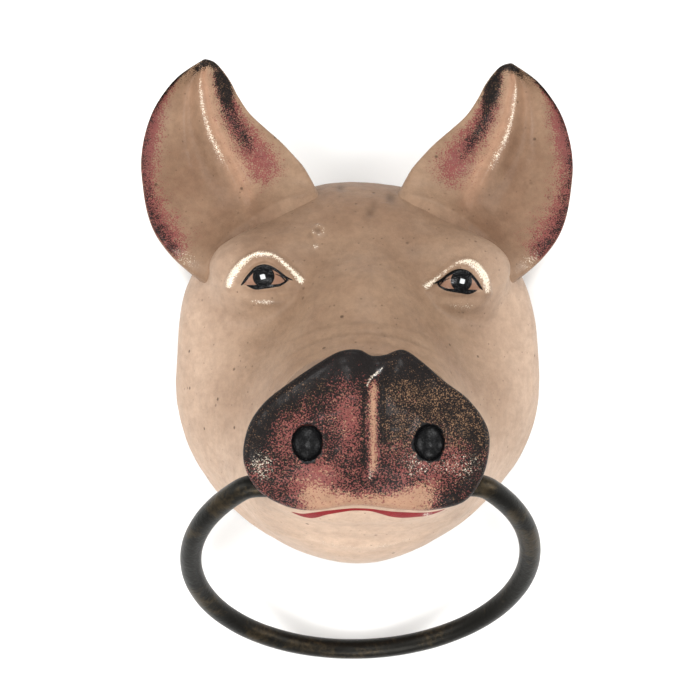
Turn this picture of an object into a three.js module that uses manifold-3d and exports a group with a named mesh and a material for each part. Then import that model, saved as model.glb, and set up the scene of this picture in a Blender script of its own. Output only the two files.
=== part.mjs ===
// A bacon press in the shape of a pig's head, lying face up on its press plate.
// A hollow cast head carries two cast ears and a cast snout disc. A round bar ring,
// whose two ends turn inwards, is trapped in two open slots behind the snout disc
// and is the lifting handle.
//
// Millimetres. +Z goes up from the press face to the snout, +Y towards the ears, and
// the origin is the centre of the press face. The ring swings about a line along X.

import * as THREE from 'three';
import { mergeVertices } from 'three/addons/utils/BufferGeometryUtils.js';
import Module from 'manifold-3d';

const wasm = await Module();
wasm.setup();

// ---------------------------------------------------------------- sizes

const headWidth = 152;
const headLength = 154;
const seatHeight = 96;
const wall = 6;
const plateThickness = 6;
const muzzleBlock = 17;

const snoutWidth = 84;
const snoutHeight = 52;
const snoutThickness = 10;
const snoutBevel = 2.4;
const snoutOffset = -22;
const snoutScrewSpacing = 28;
const snoutScrewRise = 4;
const rimOverhang = 8;
const nostrilDiameter = 9.5;
const nostrilDepth = 3.5;
const nostrilSpacing = 41;
const nostrilDrop = 6;
const grooveWidth = 4;
const grooveLength = 30;
const grooveDepth = 1.2;

const earRoot = 60;
const earLength = 66;
const earRootThickness = 11;
const earTipThickness = 5;
const earBowl = 9;
const earTipLift = 7;
const earHeight = 33;
const earAngle = 127;
const earSink = 14;
const earScrewSpacing = 27;
const earBossLength = 3;
const earBossMargin = 2;

const rodDiameter = 8;
const ringDiameter = 128;
const ringBend = 10;
const ringSideRoom = 6.5;
const trunnionReach = 15;
const hingeDrop = 5;
const hingeInset = 9;

const plateScrew = { shank: 5, head: 9.5, headHeight: 2.8, length: 18 };
const earScrew = { shank: 4, head: 7.5, headHeight: 3, length: 20 };
const snoutScrew = { shank: 5, head: 9, headHeight: 3.5, length: 23 };
const washer = { outer: 13, thickness: 1.2 };
const bossDiameter = 14;
const bossHeight = 20;
const bossInset = 2.3;
const bossAngles = [38, 142, 222, 318];
const slotWidth = 1.2;
const slotDepth = 1.2;
const screwFloor = 2;
const screwSink = 0.3;

// ---------------------------------------------------------------- clearances

const seatGap = 0.3;
const holeGap = 0.3;
const runningGap = 0.4;
const overcut = 1;
const margin = 30;

// ---------------------------------------------------------------- mesh detail

const headTurns = 44;
const headRows = 30;
const cavityTurns = 28;
const cavityRows = 20;
const halvings = 40;
const normalStep = 0.5;
const tiltStep = 0.0005;
const weld = 1e-4;
const earSides = 20;
const earRows = 14;
const rimSteps = 3;
const bevelSteps = 3;
const grooveSides = 12;
const capSteps = 4;
const roundSides = 18;
const screwSides = 12;
const rodSides = 12;
const ringSteps = 72;

// ---------------------------------------------------------------- finishes

const finishes = {
  skin: { color: 0xc4a58c, roughness: 0.32, metalness: 0 },
  nose: { color: 0x8c5a56, roughness: 0.36, metalness: 0 },
  plate: { color: 0x4a4744, roughness: 0.6, metalness: 0.7 },
  ring: { color: 0x4b4336, roughness: 0.42, metalness: 0.9 },
  screw: { color: 0x8d8a84, roughness: 0.4, metalness: 0.9 },
};

// ---------------------------------------------------------------- solids

function isInsideOut(geometry) {
  const points = geometry.getAttribute('position');
  const order = geometry.getIndex();
  const [a, b, c] = [new THREE.Vector3(), new THREE.Vector3(), new THREE.Vector3()];
  let volume = 0;
  for (let i = 0; i < order.count; i += 3) {
    a.fromBufferAttribute(points, order.getX(i));
    b.fromBufferAttribute(points, order.getX(i + 1));
    c.fromBufferAttribute(points, order.getX(i + 2));
    volume += a.dot(b.cross(c));
  }
  return volume < 0;
}

// A three.js geometry as a solid, with its seams joined and its faces pointing out.
function solidOf(geometry, matrix = new THREE.Matrix4()) {
  const bare = geometry.clone().applyMatrix4(matrix);
  bare.deleteAttribute('normal');
  bare.deleteAttribute('uv');
  const closed = mergeVertices(bare, weld);
  const order = Uint32Array.from(closed.getIndex().array);
  if (isInsideOut(closed)) order.reverse();
  const vertProperties = Float32Array.from(closed.getAttribute('position').array);
  const mesh = new wasm.Mesh({ numProp: 3, vertProperties, triVerts: order });
  return new wasm.Manifold(mesh);
}

function geometryOf(solid) {
  const mesh = solid.getMesh();
  const geometry = new THREE.BufferGeometry();
  geometry.setAttribute('position', new THREE.BufferAttribute(mesh.vertProperties, 3));
  geometry.setIndex(new THREE.BufferAttribute(mesh.triVerts, 1));
  geometry.computeVertexNormals();
  return geometry;
}

function box(low, high) {
  const size = high.map((top, i) => top - low[i]);
  const middle = high.map((top, i) => (top + low[i]) / 2);
  const place = new THREE.Matrix4().makeTranslation(...middle);
  return solidOf(new THREE.BoxGeometry(...size), place);
}

// The place of something made along +Z, moved to start and turned to point along heading.
function along(start, heading) {
  const up = new THREE.Vector3(0, 0, 1);
  const turn = new THREE.Quaternion().setFromUnitVectors(up, heading.clone().normalize());
  return new THREE.Matrix4().compose(start, turn, new THREE.Vector3(1, 1, 1));
}

// A round bar from start, as long as length, along heading.
function bar(radius, start, heading, length, sides = roundSides) {
  const cylinder = new THREE.CylinderGeometry(radius, radius, length, sides);
  cylinder.rotateX(Math.PI / 2);
  cylinder.translate(0, 0, length / 2);
  return solidOf(cylinder, along(start, heading));
}

function mesh(name, solid, finish) {
  const part = new THREE.Mesh(geometryOf(solid), new THREE.MeshStandardMaterial(finish));
  part.name = name;
  return part;
}

// ---------------------------------------------------------------- head form

// Rounded lumps of the head, as shares of its half width, half length and seat height.
const lumps = [
  { name: 'face', at: [0, 0, 0.14], size: [0.985, 1, 0.42] },
  { name: 'cranium', at: [0, 0.33, 0.14], size: [0.93, 0.69, 0.49] },
  { name: 'jowls', at: [0.38, -0.14, 0.16], size: [0.52, 0.52, 0.46], paired: true },
  { name: 'chin', at: [0, -0.48, 0.28], size: [0.5, 0.5, 0.46] },
  { name: 'bridge', at: [0, 0.13, 0.5], size: [0.38, 0.44, 0.34] },
  { name: 'brow', at: [0.48, 0.52, 0.48], size: [0.29, 0.17, 0.12], paired: true },
  { name: 'eye', at: [0.5, 0.41, 0.5], size: [0.16, 0.12, 0.11], paired: true },
];
const lumpBlend = 10;

// The muzzle under the snout disc.
const neckDrop = 3;
const neckRise = 1;
const neck = {
  y: snoutOffset - neckDrop,
  halfWidth: snoutWidth / 2 - rimOverhang,
  halfHeight: snoutHeight / 2 + neckRise,
  taper: 0.16,
  spread: 26,
  squareness: 3,
  blend: 20,
  foot: 34,
  footBlend: 30,
  overrun: 10,
};

function lumpDistance(lump, x, y, z) {
  const [half, long, high] = [headWidth / 2, headLength / 2, seatHeight];
  const side = lump.paired ? Math.abs(x) : x;
  const [rx, ry, rz] = [lump.size[0] * half, lump.size[1] * long, lump.size[2] * high];
  const px = (side - lump.at[0] * half) / rx;
  const py = (y - lump.at[1] * long) / ry;
  const pz = (z - lump.at[2] * high) / rz;
  const reach = Math.hypot(px, py, pz);
  const slope = Math.hypot(px / rx, py / ry, pz / rz);
  return slope > 0 ? (reach * (reach - 1)) / slope : -Math.min(rx, ry, rz);
}

// The muzzle is a squarish column under the snout disc that spreads towards the face
// and ends at its foot.
function neckDistance(x, y, z) {
  const spread = Math.max(0, 1 - z / seatHeight) * neck.spread;
  const rise = (y - neck.y) / (neck.halfHeight + spread);
  const across = Math.abs(x) / ((neck.halfWidth + spread) * (1 - neck.taper * rise));
  const down = Math.abs(rise);
  const n = neck.squareness;
  const reach = (across ** n + down ** n) ** (1 / n);
  return -blended((1 - reach) * (neck.halfHeight + spread), z - neck.foot, neck.footBlend);
}

// The smaller of two distances, with the corner between their surfaces filled round.
function blended(a, b, width) {
  const share = Math.max(width - Math.abs(a - b), 0) / width;
  return Math.min(a, b) - (share * share * width) / 4;
}

function headDistance(x, y, z) {
  let distance = lumpDistance(lumps[0], x, y, z);
  for (const lump of lumps.slice(1)) {
    distance = blended(distance, lumpDistance(lump, x, y, z), lumpBlend);
  }
  distance = blended(distance, neckDistance(x, y, z), neck.blend);
  return Math.max(distance, z - seatHeight - neck.overrun);
}

// How far the head's surface is from start along heading.
function reachTo(start, heading) {
  let [near, far] = [0, headWidth + headLength];
  for (let i = 0; i < halvings; i += 1) {
    const middle = (near + far) / 2;
    const p = start.clone().addScaledVector(heading, middle);
    if (headDistance(p.x, p.y, p.z) < 0) near = middle;
    else far = middle;
  }
  return near;
}

function headNormal(p) {
  const step = normalStep;
  const dx = headDistance(p.x + step, p.y, p.z) - headDistance(p.x - step, p.y, p.z);
  const dy = headDistance(p.x, p.y + step, p.z) - headDistance(p.x, p.y - step, p.z);
  const dz = headDistance(p.x, p.y, p.z + step) - headDistance(p.x, p.y, p.z - step);
  return new THREE.Vector3(dx, dy, dz).normalize();
}

// A point well inside the head, from which its whole surface can be seen.
const core = new THREE.Vector3(0, snoutOffset / 4, seatHeight * 0.4);

// The head's surface as a closed solid, moved out along its own normals by offset.
function headSolid(offset, turns, rows) {
  const ball = new THREE.SphereGeometry(1, turns, rows);
  ball.rotateX(Math.PI / 2);
  const points = ball.getAttribute('position');
  const heading = new THREE.Vector3();
  for (let i = 0; i < points.count; i += 1) {
    heading.fromBufferAttribute(points, i).normalize();
    const p = core.clone().addScaledVector(heading, reachTo(core, heading));
    p.addScaledVector(headNormal(p), offset);
    points.setXYZ(i, p.x, p.y, p.z);
  }
  return solidOf(ball);
}

const slabHalf = headWidth + headLength + margin;
const slabFloor = -2 * seatHeight;
function slab(low, high) {
  return box([-slabHalf, -slabHalf, low], [slabHalf, slabHalf, high]);
}

const headForm = headSolid(0, headTurns, headRows);
const headSkin = headSolid(seatGap, headTurns, headRows);
const hollow = headSolid(-wall, cavityTurns, cavityRows);
const ceiling = seatHeight - muzzleBlock;
const shellBottom = plateThickness + seatGap;

// ---------------------------------------------------------------- screws

function turned(profile, matrix, sides = screwSides) {
  const points = profile.map(([radius, height]) => new THREE.Vector2(radius, height));
  const lathe = new THREE.LatheGeometry(points, sides);
  lathe.rotateX(Math.PI / 2);
  return solidOf(lathe, matrix);
}

function panProfile({ shank, head, headHeight, length }) {
  const [r, big, end] = [shank / 2, head / 2, headHeight + length];
  return [[0, 0], [big, 0], [big, headHeight], [r, headHeight], [r, end], [0, end]];
}

function flatProfile({ shank, head, headHeight, length }) {
  return [[0, 0], [head / 2, 0], [shank / 2, headHeight], [shank / 2, length], [0, length]];
}

// The hole for a countersunk screw, gap wider all round, from below the plate's face.
function flatHoleProfile({ shank, head, headHeight, length }, gap) {
  const [r, big, cone] = [shank / 2 + gap, head / 2 + gap, headHeight + gap / 2];
  return [[0, -overcut], [big, -overcut], [big, gap / 2], [r, cone], [r, length], [0, length]];
}

// The straight hole for a screw's shank, which starts an overcut before start.
function shankHole({ shank }, start, heading, length) {
  const before = start.clone().addScaledVector(heading, -overcut);
  return bar(shank / 2 + holeGap, before, heading, length + overcut, screwSides);
}

// A slotted screw whose head starts at start and whose shank points along heading.
function screwSolid(size, profile, start, heading) {
  const place = along(start, heading);
  const slot = new THREE.BoxGeometry(size.head * 2, slotWidth, slotDepth * 2);
  return turned(profile(size), place).subtract(solidOf(slot, place));
}

// ---------------------------------------------------------------- plate and its screws

const up = new THREE.Vector3(0, 0, 1);
const bosses = bossAngles.map((degrees) => {
  const angle = THREE.MathUtils.degToRad(degrees);
  const heading = new THREE.Vector3(Math.cos(angle), Math.sin(angle), 0);
  const start = new THREE.Vector3(0, 0, shellBottom + bossHeight);
  const inside = reachTo(start, heading) - wall - bossInset;
  return heading.multiplyScalar(inside);
});

const plateScrews = bosses.map((at) => at.clone().setZ(screwSink));

function plateSolid() {
  let plate = headForm.intersect(slab(0, plateThickness));
  for (const start of plateScrews) {
    plate = plate.subtract(turned(flatHoleProfile(plateScrew, holeGap), along(start, up)));
  }
  return plate;
}

// ---------------------------------------------------------------- ears

// The ear's two edges, across as shares of half the root and out as shares of the length.
// The first point of each is inside the head.
const earShares = {
  inner: [
    [0.98, 0], [1.06, 0.02], [1.04, 0.2], [0.93, 0.42], [0.85, 0.64], [0.86, 0.82], [0.8, 0.93],
  ],
  outer: [
    [-0.93, 0], [-1, 0], [-1.06, 0.26], [-0.95, 0.5], [-0.63, 0.73], [-0.08, 0.9], [0.7, 0.965],
  ],
};
const rootBowl = 0.35;
const edgeRound = 0.7;

function earEdge(shares) {
  const points = shares.map(([across, out], i) => {
    const v = i === 0 ? -earSink : out * earLength;
    return new THREE.Vector3((across * earRoot) / 2, v, out * earTipLift);
  });
  return new THREE.CatmullRomCurve3(points, false, 'catmullrom');
}
const innerEdge = earEdge(earShares.inner);
const outerEdge = earEdge(earShares.outer);

// A point of the ear: across from -1 to 1 between its edges, through from -1 to 1
// between its faces, and share from 0 inside the head to 1 at the tip.
function earPoint(across, through, share) {
  const p = outerEdge.getPoint(share).lerp(innerEdge.getPoint(share), (across + 1) / 2);
  const bowl = earBowl * THREE.MathUtils.lerp(rootBowl, 1, Math.sin(Math.PI * share));
  const thick = THREE.MathUtils.lerp(earRootThickness, earTipThickness, share) / 2;
  p.z -= bowl * (1 - across * across);
  p.z += thick * Math.sign(through) * Math.abs(through) ** edgeRound;
  return p;
}

// Where each ear stands: its root's middle is on the head, and +Y points out to the tip.
const earPlace = (() => {
  const angle = THREE.MathUtils.degToRad(earAngle);
  const heading = new THREE.Vector3(Math.cos(angle), Math.sin(angle), 0);
  const start = new THREE.Vector3(0, 0, earHeight);
  const root = start.clone().addScaledVector(heading, reachTo(start, heading));
  const turn = new THREE.Quaternion().setFromAxisAngle(up, angle - Math.PI / 2);
  return new THREE.Matrix4().compose(root, turn, new THREE.Vector3(1, 1, 1));
})();

function earBlank() {
  const tube = new THREE.CylinderGeometry(1, 1, 1, earSides, earRows);
  const points = tube.getAttribute('position');
  for (let i = 0; i < points.count; i += 1) {
    const [across, share, through] = [points.getX(i), points.getY(i) + 0.5, points.getZ(i)];
    const p = earPoint(across, through, share);
    points.setXYZ(i, p.x, p.y, p.z);
  }
  return solidOf(tube, earPlace);
}

// The two screws of the left ear start on flat seats inside the head.
const rootShare = 1.5 / (earShares.inner.length - 1);
const earScrews = [-1, 1].map((side) => {
  const across = (side * earScrewSpacing) / earRoot;
  const heading = new THREE.Vector3(0, 1, 0).transformDirection(earPlace);
  const line = earPoint(across, 0, rootShare).applyMatrix4(earPlace);
  const start = line.clone().addScaledVector(heading, -earRoot / 2);
  const seat = reachTo(start, heading) - wall - earBossLength;
  return { heading, seat: start.addScaledVector(heading, seat) };
});

function mirrored(v) {
  return v.clone().setX(-v.x);
}
const ears = {
  left: earScrews,
  right: earScrews.map((s) => ({ heading: mirrored(s.heading), seat: mirrored(s.seat) })),
};

// ---------------------------------------------------------------- ring

const rod = rodDiameter / 2;
const ringRadius = ringDiameter / 2;
const ringHalfSpan = neck.halfWidth + ringSideRoom;
const hingeOffset = neck.y - neck.halfHeight + hingeInset;
const hinge = new THREE.Vector3(0, hingeOffset, seatHeight - hingeDrop);
const ringDrop = Math.sqrt(ringRadius ** 2 - ringHalfSpan ** 2);
const bendMiddle = Math.sqrt((ringRadius - ringBend) ** 2 - (ringDrop - ringBend) ** 2);
const trunnionEnd = bendMiddle - trunnionReach;

// The ring's centre line from the hinge: across, and away from the hinge in its own plane.
function ringLine() {
  const join = Math.atan2(ringBend - ringDrop, bendMiddle);
  const flat = new THREE.Path();
  flat.moveTo(trunnionEnd, 0);
  flat.lineTo(bendMiddle, 0);
  flat.absarc(bendMiddle, ringBend, ringBend, -Math.PI / 2, join, false);
  flat.absarc(0, ringDrop, ringRadius, join, Math.PI - join, false);
  flat.absarc(-bendMiddle, ringBend, ringBend, Math.PI - join, (Math.PI * 3) / 2, false);
  flat.lineTo(-trunnionEnd, 0);
  return flat.getSpacedPoints(ringSteps);
}

// The same line in space, with the ring swung down by tilt from the horizontal.
function ringPoints(tilt) {
  const [outward, down] = [-Math.cos(tilt), -Math.sin(tilt)];
  return ringLine().map((p) => new THREE.Vector3(p.x, p.y * outward, p.y * down).add(hinge));
}

// The ring falls until it is on the table or its bar meets the head.
function restTilt() {
  let tilt = 0;
  for (let next = 0; next < Math.PI / 2; next += tiltStep) {
    const points = ringPoints(next).filter((p) => p.distanceTo(hinge) > ringHalfSpan + ringBend);
    const onTable = points.some((p) => p.z < rod);
    const onHead = points.some((p) => headDistance(p.x, p.y, p.z) < rod + runningGap);
    if (onTable || onHead) break;
    tilt = next;
  }
  return tilt;
}

function ringSolid() {
  const line = new THREE.CatmullRomCurve3(ringPoints(restTilt()));
  const section = new THREE.Shape();
  section.absarc(0, 0, rod, 0, Math.PI * 2);
  const options = {
    steps: ringSteps, extrudePath: line, curveSegments: rodSides / 2, bevelEnabled: false,
  };
  return solidOf(new THREE.ExtrudeGeometry(section, options));
}

// One slot of the muzzle, open towards the snout, which closes it.
function trunnionSlot(side) {
  const radius = rod + runningGap;
  const start = hinge.clone().setX(side * (trunnionEnd - runningGap));
  const heading = new THREE.Vector3(side, 0, 0);
  const round = bar(radius, start, heading, headWidth / 2);
  const [a, b] = [start.x, start.x + (side * headWidth) / 2];
  const low = [Math.min(a, b), hinge.y - radius, hinge.z];
  const high = [Math.max(a, b), hinge.y + radius, seatHeight + margin];
  return round.add(box(low, high));
}

// ---------------------------------------------------------------- snout

// The right half of the snout's outline, as shares of its half width and half height.
const rimShares = [
  [0, 0.93], [0.305, 0.97], [0.585, 0.66], [0.786, 0.39], [0.905, 0.19], [0.99, -0.19],
  [1, -0.385], [0.95, -0.71], [0.81, -0.87], [0.585, -0.97], [0, -1.02],
];
const snoutFace = seatHeight + snoutThickness;

function snoutOutline() {
  const right = rimShares.map(([x, y]) => new THREE.Vector2(
    (x * snoutWidth) / 2, (y * snoutHeight) / 2));
  const left = right.slice(1, -1).reverse().map((p) => new THREE.Vector2(-p.x, p.y));
  const outline = new THREE.Shape();
  outline.moveTo(right[0].x, right[0].y);
  outline.splineThru([...right.slice(1), ...left, right[0]]);
  return outline;
}

const snoutScrews = [-1, 1].map((side) => new THREE.Vector3(
  (side * snoutScrewSpacing) / 2, snoutOffset + snoutScrewRise, ceiling));

function snoutSolid() {
  const options = {
    depth: snoutThickness - snoutBevel * 2,
    bevelThickness: snoutBevel,
    bevelSize: snoutBevel,
    bevelOffset: -snoutBevel,
    bevelSegments: bevelSteps,
    curveSegments: rimSteps,
  };
  const disc = new THREE.ExtrudeGeometry(snoutOutline(), options);
  const place = new THREE.Matrix4().makeTranslation(0, snoutOffset, seatHeight + snoutBevel);
  let snout = solidOf(disc, place);
  for (const side of [-1, 1]) {
    const floor = new THREE.Vector3(
      (side * nostrilSpacing) / 2, snoutOffset - nostrilDrop, snoutFace - nostrilDepth);
    snout = snout.subtract(bar(nostrilDiameter / 2, floor, up, nostrilDepth + overcut));
  }
  const groove = new THREE.CapsuleGeometry(
    grooveWidth / 2, grooveLength - grooveWidth, capSteps, grooveSides);
  const lift = snoutFace + grooveWidth / 2 - grooveDepth;
  const groovePlace = new THREE.Matrix4().makeTranslation(0, snoutOffset, lift);
  snout = snout.subtract(solidOf(groove, groovePlace));
  for (const at of snoutScrews) {
    const end = snoutScrewStart(at).z + snoutScrew.headHeight + snoutScrew.length;
    snout = snout.subtract(shankHole(snoutScrew, at, up, end + screwFloor / 2 - at.z));
  }
  return snout;
}

function snoutScrewStart(at) {
  return at.clone().setZ(at.z - 2 * seatGap - washer.thickness - snoutScrew.headHeight);
}

function washerSolid(at) {
  const bottom = at.clone().setZ(at.z - seatGap - washer.thickness);
  const disc = bar(washer.outer / 2, bottom, up, washer.thickness);
  return disc.subtract(shankHole(snoutScrew, bottom, up, washer.thickness + overcut));
}

// ---------------------------------------------------------------- head shell

const allEarScrews = [...ears.left, ...ears.right];

function shellSolid() {
  const blank = headForm.intersect(slab(shellBottom, seatHeight - seatGap));
  let shell = blank.subtract(hollow.intersect(slab(slabFloor, ceiling)));
  const pillars = bosses.map((at) => bar(
    bossDiameter / 2, at.clone().setZ(shellBottom), up, bossHeight));
  const seatRadius = earScrew.head / 2 + earBossMargin;
  const seats = allEarScrews.map(({ seat, heading }) => bar(
    seatRadius, seat, heading, earBossLength + wall));
  for (const boss of [...pillars, ...seats]) shell = shell.add(boss.intersect(blank));
  for (const at of bosses) {
    const start = at.clone().setZ(shellBottom);
    const hole = plateScrew.length + screwSink + screwFloor - shellBottom;
    shell = shell.subtract(shankHole(plateScrew, start, up, hole));
  }
  for (const { seat, heading } of allEarScrews) {
    shell = shell.subtract(shankHole(earScrew, seat, heading, earScrew.length));
    const back = heading.clone().negate();
    shell = shell.subtract(bar(seatRadius, seat, back, earScrew.head * 2));
  }
  for (const at of snoutScrews) {
    shell = shell.subtract(shankHole(snoutScrew, at, up, muzzleBlock + margin));
  }
  return shell.subtract(trunnionSlot(-1)).subtract(trunnionSlot(1));
}

// ---------------------------------------------------------------- assembly

const group = new THREE.Group();
group.add(mesh('base_plate', plateSolid(), finishes.plate));
plateScrews.forEach((start, i) => {
  const screw = screwSolid(plateScrew, flatProfile, start, up);
  group.add(mesh(`base_screw_${i + 1}`, screw, finishes.screw));
});
group.add(mesh('head_shell', shellSolid(), finishes.skin));

const leftBlank = earBlank();
const blanks = { left: leftBlank, right: leftBlank.mirror([1, 0, 0]) };
for (const [side, screws] of Object.entries(ears)) {
  let ear = blanks[side].subtract(headSkin);
  screws.forEach(({ seat, heading }, i) => {
    const start = seat.clone().addScaledVector(heading, -seatGap - earScrew.headHeight);
    const hole = earScrew.length + screwFloor;
    ear = ear.subtract(shankHole(earScrew, seat, heading, hole));
    const screw = screwSolid(earScrew, panProfile, start, heading);
    group.add(mesh(`ear_screw_${side}_${i + 1}`, screw, finishes.screw));
  });
  group.add(mesh(`ear_${side}`, ear, finishes.skin));
}

group.add(mesh('snout', snoutSolid(), finishes.nose));
snoutScrews.forEach((at, i) => {
  group.add(mesh(`snout_washer_${i + 1}`, washerSolid(at), finishes.screw));
  const screw = screwSolid(snoutScrew, panProfile, snoutScrewStart(at), up);
  group.add(mesh(`snout_screw_${i + 1}`, screw, finishes.screw));
});
group.add(mesh('ring', ringSolid(), finishes.ring));

export default group;
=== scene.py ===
"""A bacon press in the shape of a pig's head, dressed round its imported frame.

The hollow cast head lies face up on its press plate. Two cast ears and a snout disc are
screwed to it, and a round bar ring, trapped behind the snout, is the lifting handle.
The head is one smooth form, worked out as a distance, which the ears, the plate and the
holes also follow. Property sizes are metres; shapes are worked out in millimetres.
"""

import math

import bpy
import numpy as np
from mathutils import Matrix, Vector, noise


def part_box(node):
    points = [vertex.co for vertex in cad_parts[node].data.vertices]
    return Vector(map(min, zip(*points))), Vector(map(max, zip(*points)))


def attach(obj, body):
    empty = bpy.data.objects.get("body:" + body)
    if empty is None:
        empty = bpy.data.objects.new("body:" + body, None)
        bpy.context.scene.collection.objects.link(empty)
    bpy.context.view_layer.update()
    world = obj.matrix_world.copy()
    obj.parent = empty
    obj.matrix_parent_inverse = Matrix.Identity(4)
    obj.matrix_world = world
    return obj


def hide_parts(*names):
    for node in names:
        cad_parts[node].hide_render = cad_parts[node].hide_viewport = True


bl_info = {
    "name": "Bacon Press",
    "version": (1, 0, 0),
    "blender": (4, 5, 0),
    "location": "View3D > Sidebar > Bacon Press",
    "description": "Builds the castings, ring, screws and paint of a pig's head bacon press",
    "category": "Object",
}

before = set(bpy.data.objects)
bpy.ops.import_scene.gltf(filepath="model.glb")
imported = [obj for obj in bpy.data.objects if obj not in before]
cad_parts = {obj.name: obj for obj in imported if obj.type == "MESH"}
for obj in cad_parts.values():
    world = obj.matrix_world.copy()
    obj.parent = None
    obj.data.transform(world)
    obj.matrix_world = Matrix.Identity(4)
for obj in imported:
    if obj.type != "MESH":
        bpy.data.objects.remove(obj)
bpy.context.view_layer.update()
MM = 0.001


def node_box(node):
    """The lowest and highest corner of a CAD node, in millimetres."""
    return [np.array(corner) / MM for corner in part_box(node)]


PLATE_TOP = node_box("base_plate")[1][2]
SHELL_LOW, SHELL_HIGH = (corner[2] for corner in node_box("head_shell"))
SNOUT_LOW, SNOUT_HIGH = node_box("snout")


# ---------------------------------------------------------------- sizes and colours

def length(name, description, millimetres):
    return bpy.props.FloatProperty(
        name=name, description=description, default=float(millimetres) * MM, min=0, unit="LENGTH")


def srgb(code):
    """A linear colour from a six-digit web colour."""
    parts = [((code >> shift) & 255) / 255 for shift in (16, 8, 0)]
    return tuple(p / 12.92 if p <= 0.04045 else ((p + 0.055) / 1.055) ** 2.4 for p in parts)


def colour(name, description, code):
    return bpy.props.FloatVectorProperty(
        name=name, description=description, default=srgb(code), min=0, max=1, subtype="COLOR")


class PressSizes(bpy.types.PropertyGroup):
    """Sizes of the castings and the ring."""
    head_width: length("Head width", "Width of the face at the cheeks", 152)
    head_length: length("Head length", "Length of the face from chin to crown", 154)
    seat_height: length("Snout seat", "Height of the seat under the snout disc", SNOUT_LOW[2])
    wall: length("Wall", "Wall of the hollow head", 6)
    muzzle_block: length("Muzzle block", "Solid end of the muzzle under the snout", 17)
    snout_width: length("Snout width", "Width of the snout disc", 84)
    snout_height: length("Snout height", "Height of the snout disc", 52)
    snout_offset: length("Snout drop", "How far the snout's middle is below the face's", 22)
    nostril: length("Nostril", "Mean width of a nostril", 10.4)
    nostril_spacing: length("Nostril spacing", "Middle to middle of the nostrils", 41)
    ear_root: length("Ear root", "Width of an ear where it leaves the head", 60)
    ear_length: length("Ear length", "Length of an ear from the head to its tip", 66)
    ear_bowl: length("Ear bowl", "Depth of the ear's hollow", 9)
    ring_bar: length("Ring bar", "Diameter of the ring's bar", 8)
    ring_diameter: length("Ring", "Diameter of the ring at the middle of its bar", 128)
    ring_bend: length("Ring bend", "Bend radius where the ring's ends turn in", 10)


class PressColours(bpy.types.PropertyGroup):
    """Colours of the paint and of the bare metal."""
    skin: colour("Skin", "Paint of the face", 0x8C725C)
    # painted light: the paler tone of the lit chin, jaw and cheeks
    skin_painted_light: colour("Pale skin", "Paint of the chin and jaw", 0xC2A791)
    # also painted shade: browner towards the brow and crown and in the ears' lower hollows
    skin_brown_and_shade: colour("Brown skin", "Thin brown glaze on the brow and the ears", 0x6A4D3A)
    cream: colour("Cream", "Paint of the upper lip and of the snout's ridge", 0x9E7A62)
    pink: colour("Pink", "Sprayed pink on the snout and the ears", 0x753F3B)
    black: colour("Black", "Sprayed black on the snout and the ears", 0x0D0706)
    lip_red: colour("Lip red", "Line of the mouth", 0x7E0710)
    line: colour("Line", "Lid lines, irises and nostrils", 0x070708)
    sclera: colour("Eye ground", "Paint at both sides of the iris", 0x866552)
    # painted highlight: pale grains where folds and ridges catch the light, with the varnish's pale
    # crazing
    bloom_and_highlight: colour("Bloom", "Crazed varnish on the folds, gone pale", 0xE8DAC4)
    fleck: colour("Fleck", "Tan flecks in the sprayed paint", 0x8C6B50)
    catch: colour("Catch light", "Dot painted on each iris", 0xC8CCCC)
    # also painted shade: the dark mixed into the creases, the ear roots and the pits
    dirt_and_shade: colour("Dirt", "Specks and what has settled in the creases", 0x38271B)
    ring_dark: colour("Ring patina", "Dark patina of the ring", 0x1B1A17)
    ring_worn: colour("Ring wear", "Metal of the ring where it is rubbed", 0x6E5C40)
    iron: colour("Iron", "Seasoned iron of the press plate", 0x2B2A29)
    steel: colour("Steel", "Screws and washers", 0x8D8A84)
    ground: colour("Ground", "The surface under the press", 0xF4F4F2)


# ---------------------------------------------------------------- curves and fields

def blended(a, b, width):
    """The smaller of two distances, with the corner between their surfaces filled round."""
    share = np.maximum(width - np.abs(a - b), 0) / width
    return np.minimum(a, b) - share * share * width / 4


def ramp(value, low, high):
    """0 below low, 1 above high, and a smooth step between them."""
    t = np.clip((value - low) / (high - low), 0, 1)
    return t * t * (3 - 2 * t)


def ridge(distance, width):
    """A rounded ridge: 1 where the distance is 0, and almost 0 at twice the width."""
    return np.exp(-((distance / width) ** 2))


def through_points(points, share):
    """A smooth curve through points, at shares from 0 to 1 of its length in points."""
    points = np.asarray(points, float)
    spans = len(points) - 1
    place = np.asarray(share, float) * spans
    first = np.clip(np.floor(place).astype(int), 0, spans - 1)
    t = (place - first)[..., None]
    padded = np.vstack([2 * points[0] - points[1], points, 2 * points[-1] - points[-2]])
    before, a, b, after = (padded[first + i] for i in range(4))
    leave, arrive = (b - before) / 2, (after - a) / 2
    return ((2 * t**3 - 3 * t**2 + 1) * a + (t**3 - 2 * t**2 + t) * leave
            + (3 * t**2 - 2 * t**3) * b + (t**3 - t**2) * arrive)


def brush_line(x, y, stroke, steps=8):
    """How deep each point is inside a brushed line; stroke holds x, y and half width."""
    path = through_points(stroke, np.linspace(0, 1, steps * (len(stroke) - 1) + 1))
    depth = np.full(x.shape, -1e3)
    for (ax, ay, aw), (bx, by, bw) in zip(path[:-1], path[1:]):
        dx, dy = bx - ax, by - ay
        t = np.clip(((x - ax) * dx + (y - ay) * dy) / max(dx * dx + dy * dy, 1e-9), 0, 1)
        gap = np.hypot(x - ax - t * dx, y - ay - t * dy)
        depth = np.maximum(depth, aw + t * (bw - aw) - gap)
    return depth


def grain(points, size, seed=0.0):
    """Smooth noise between -1 and 1 whose lumps are about size millimetres apart."""
    scaled = points / size + seed
    return np.array([noise.noise(Vector(p)) for p in scaled])


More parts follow.
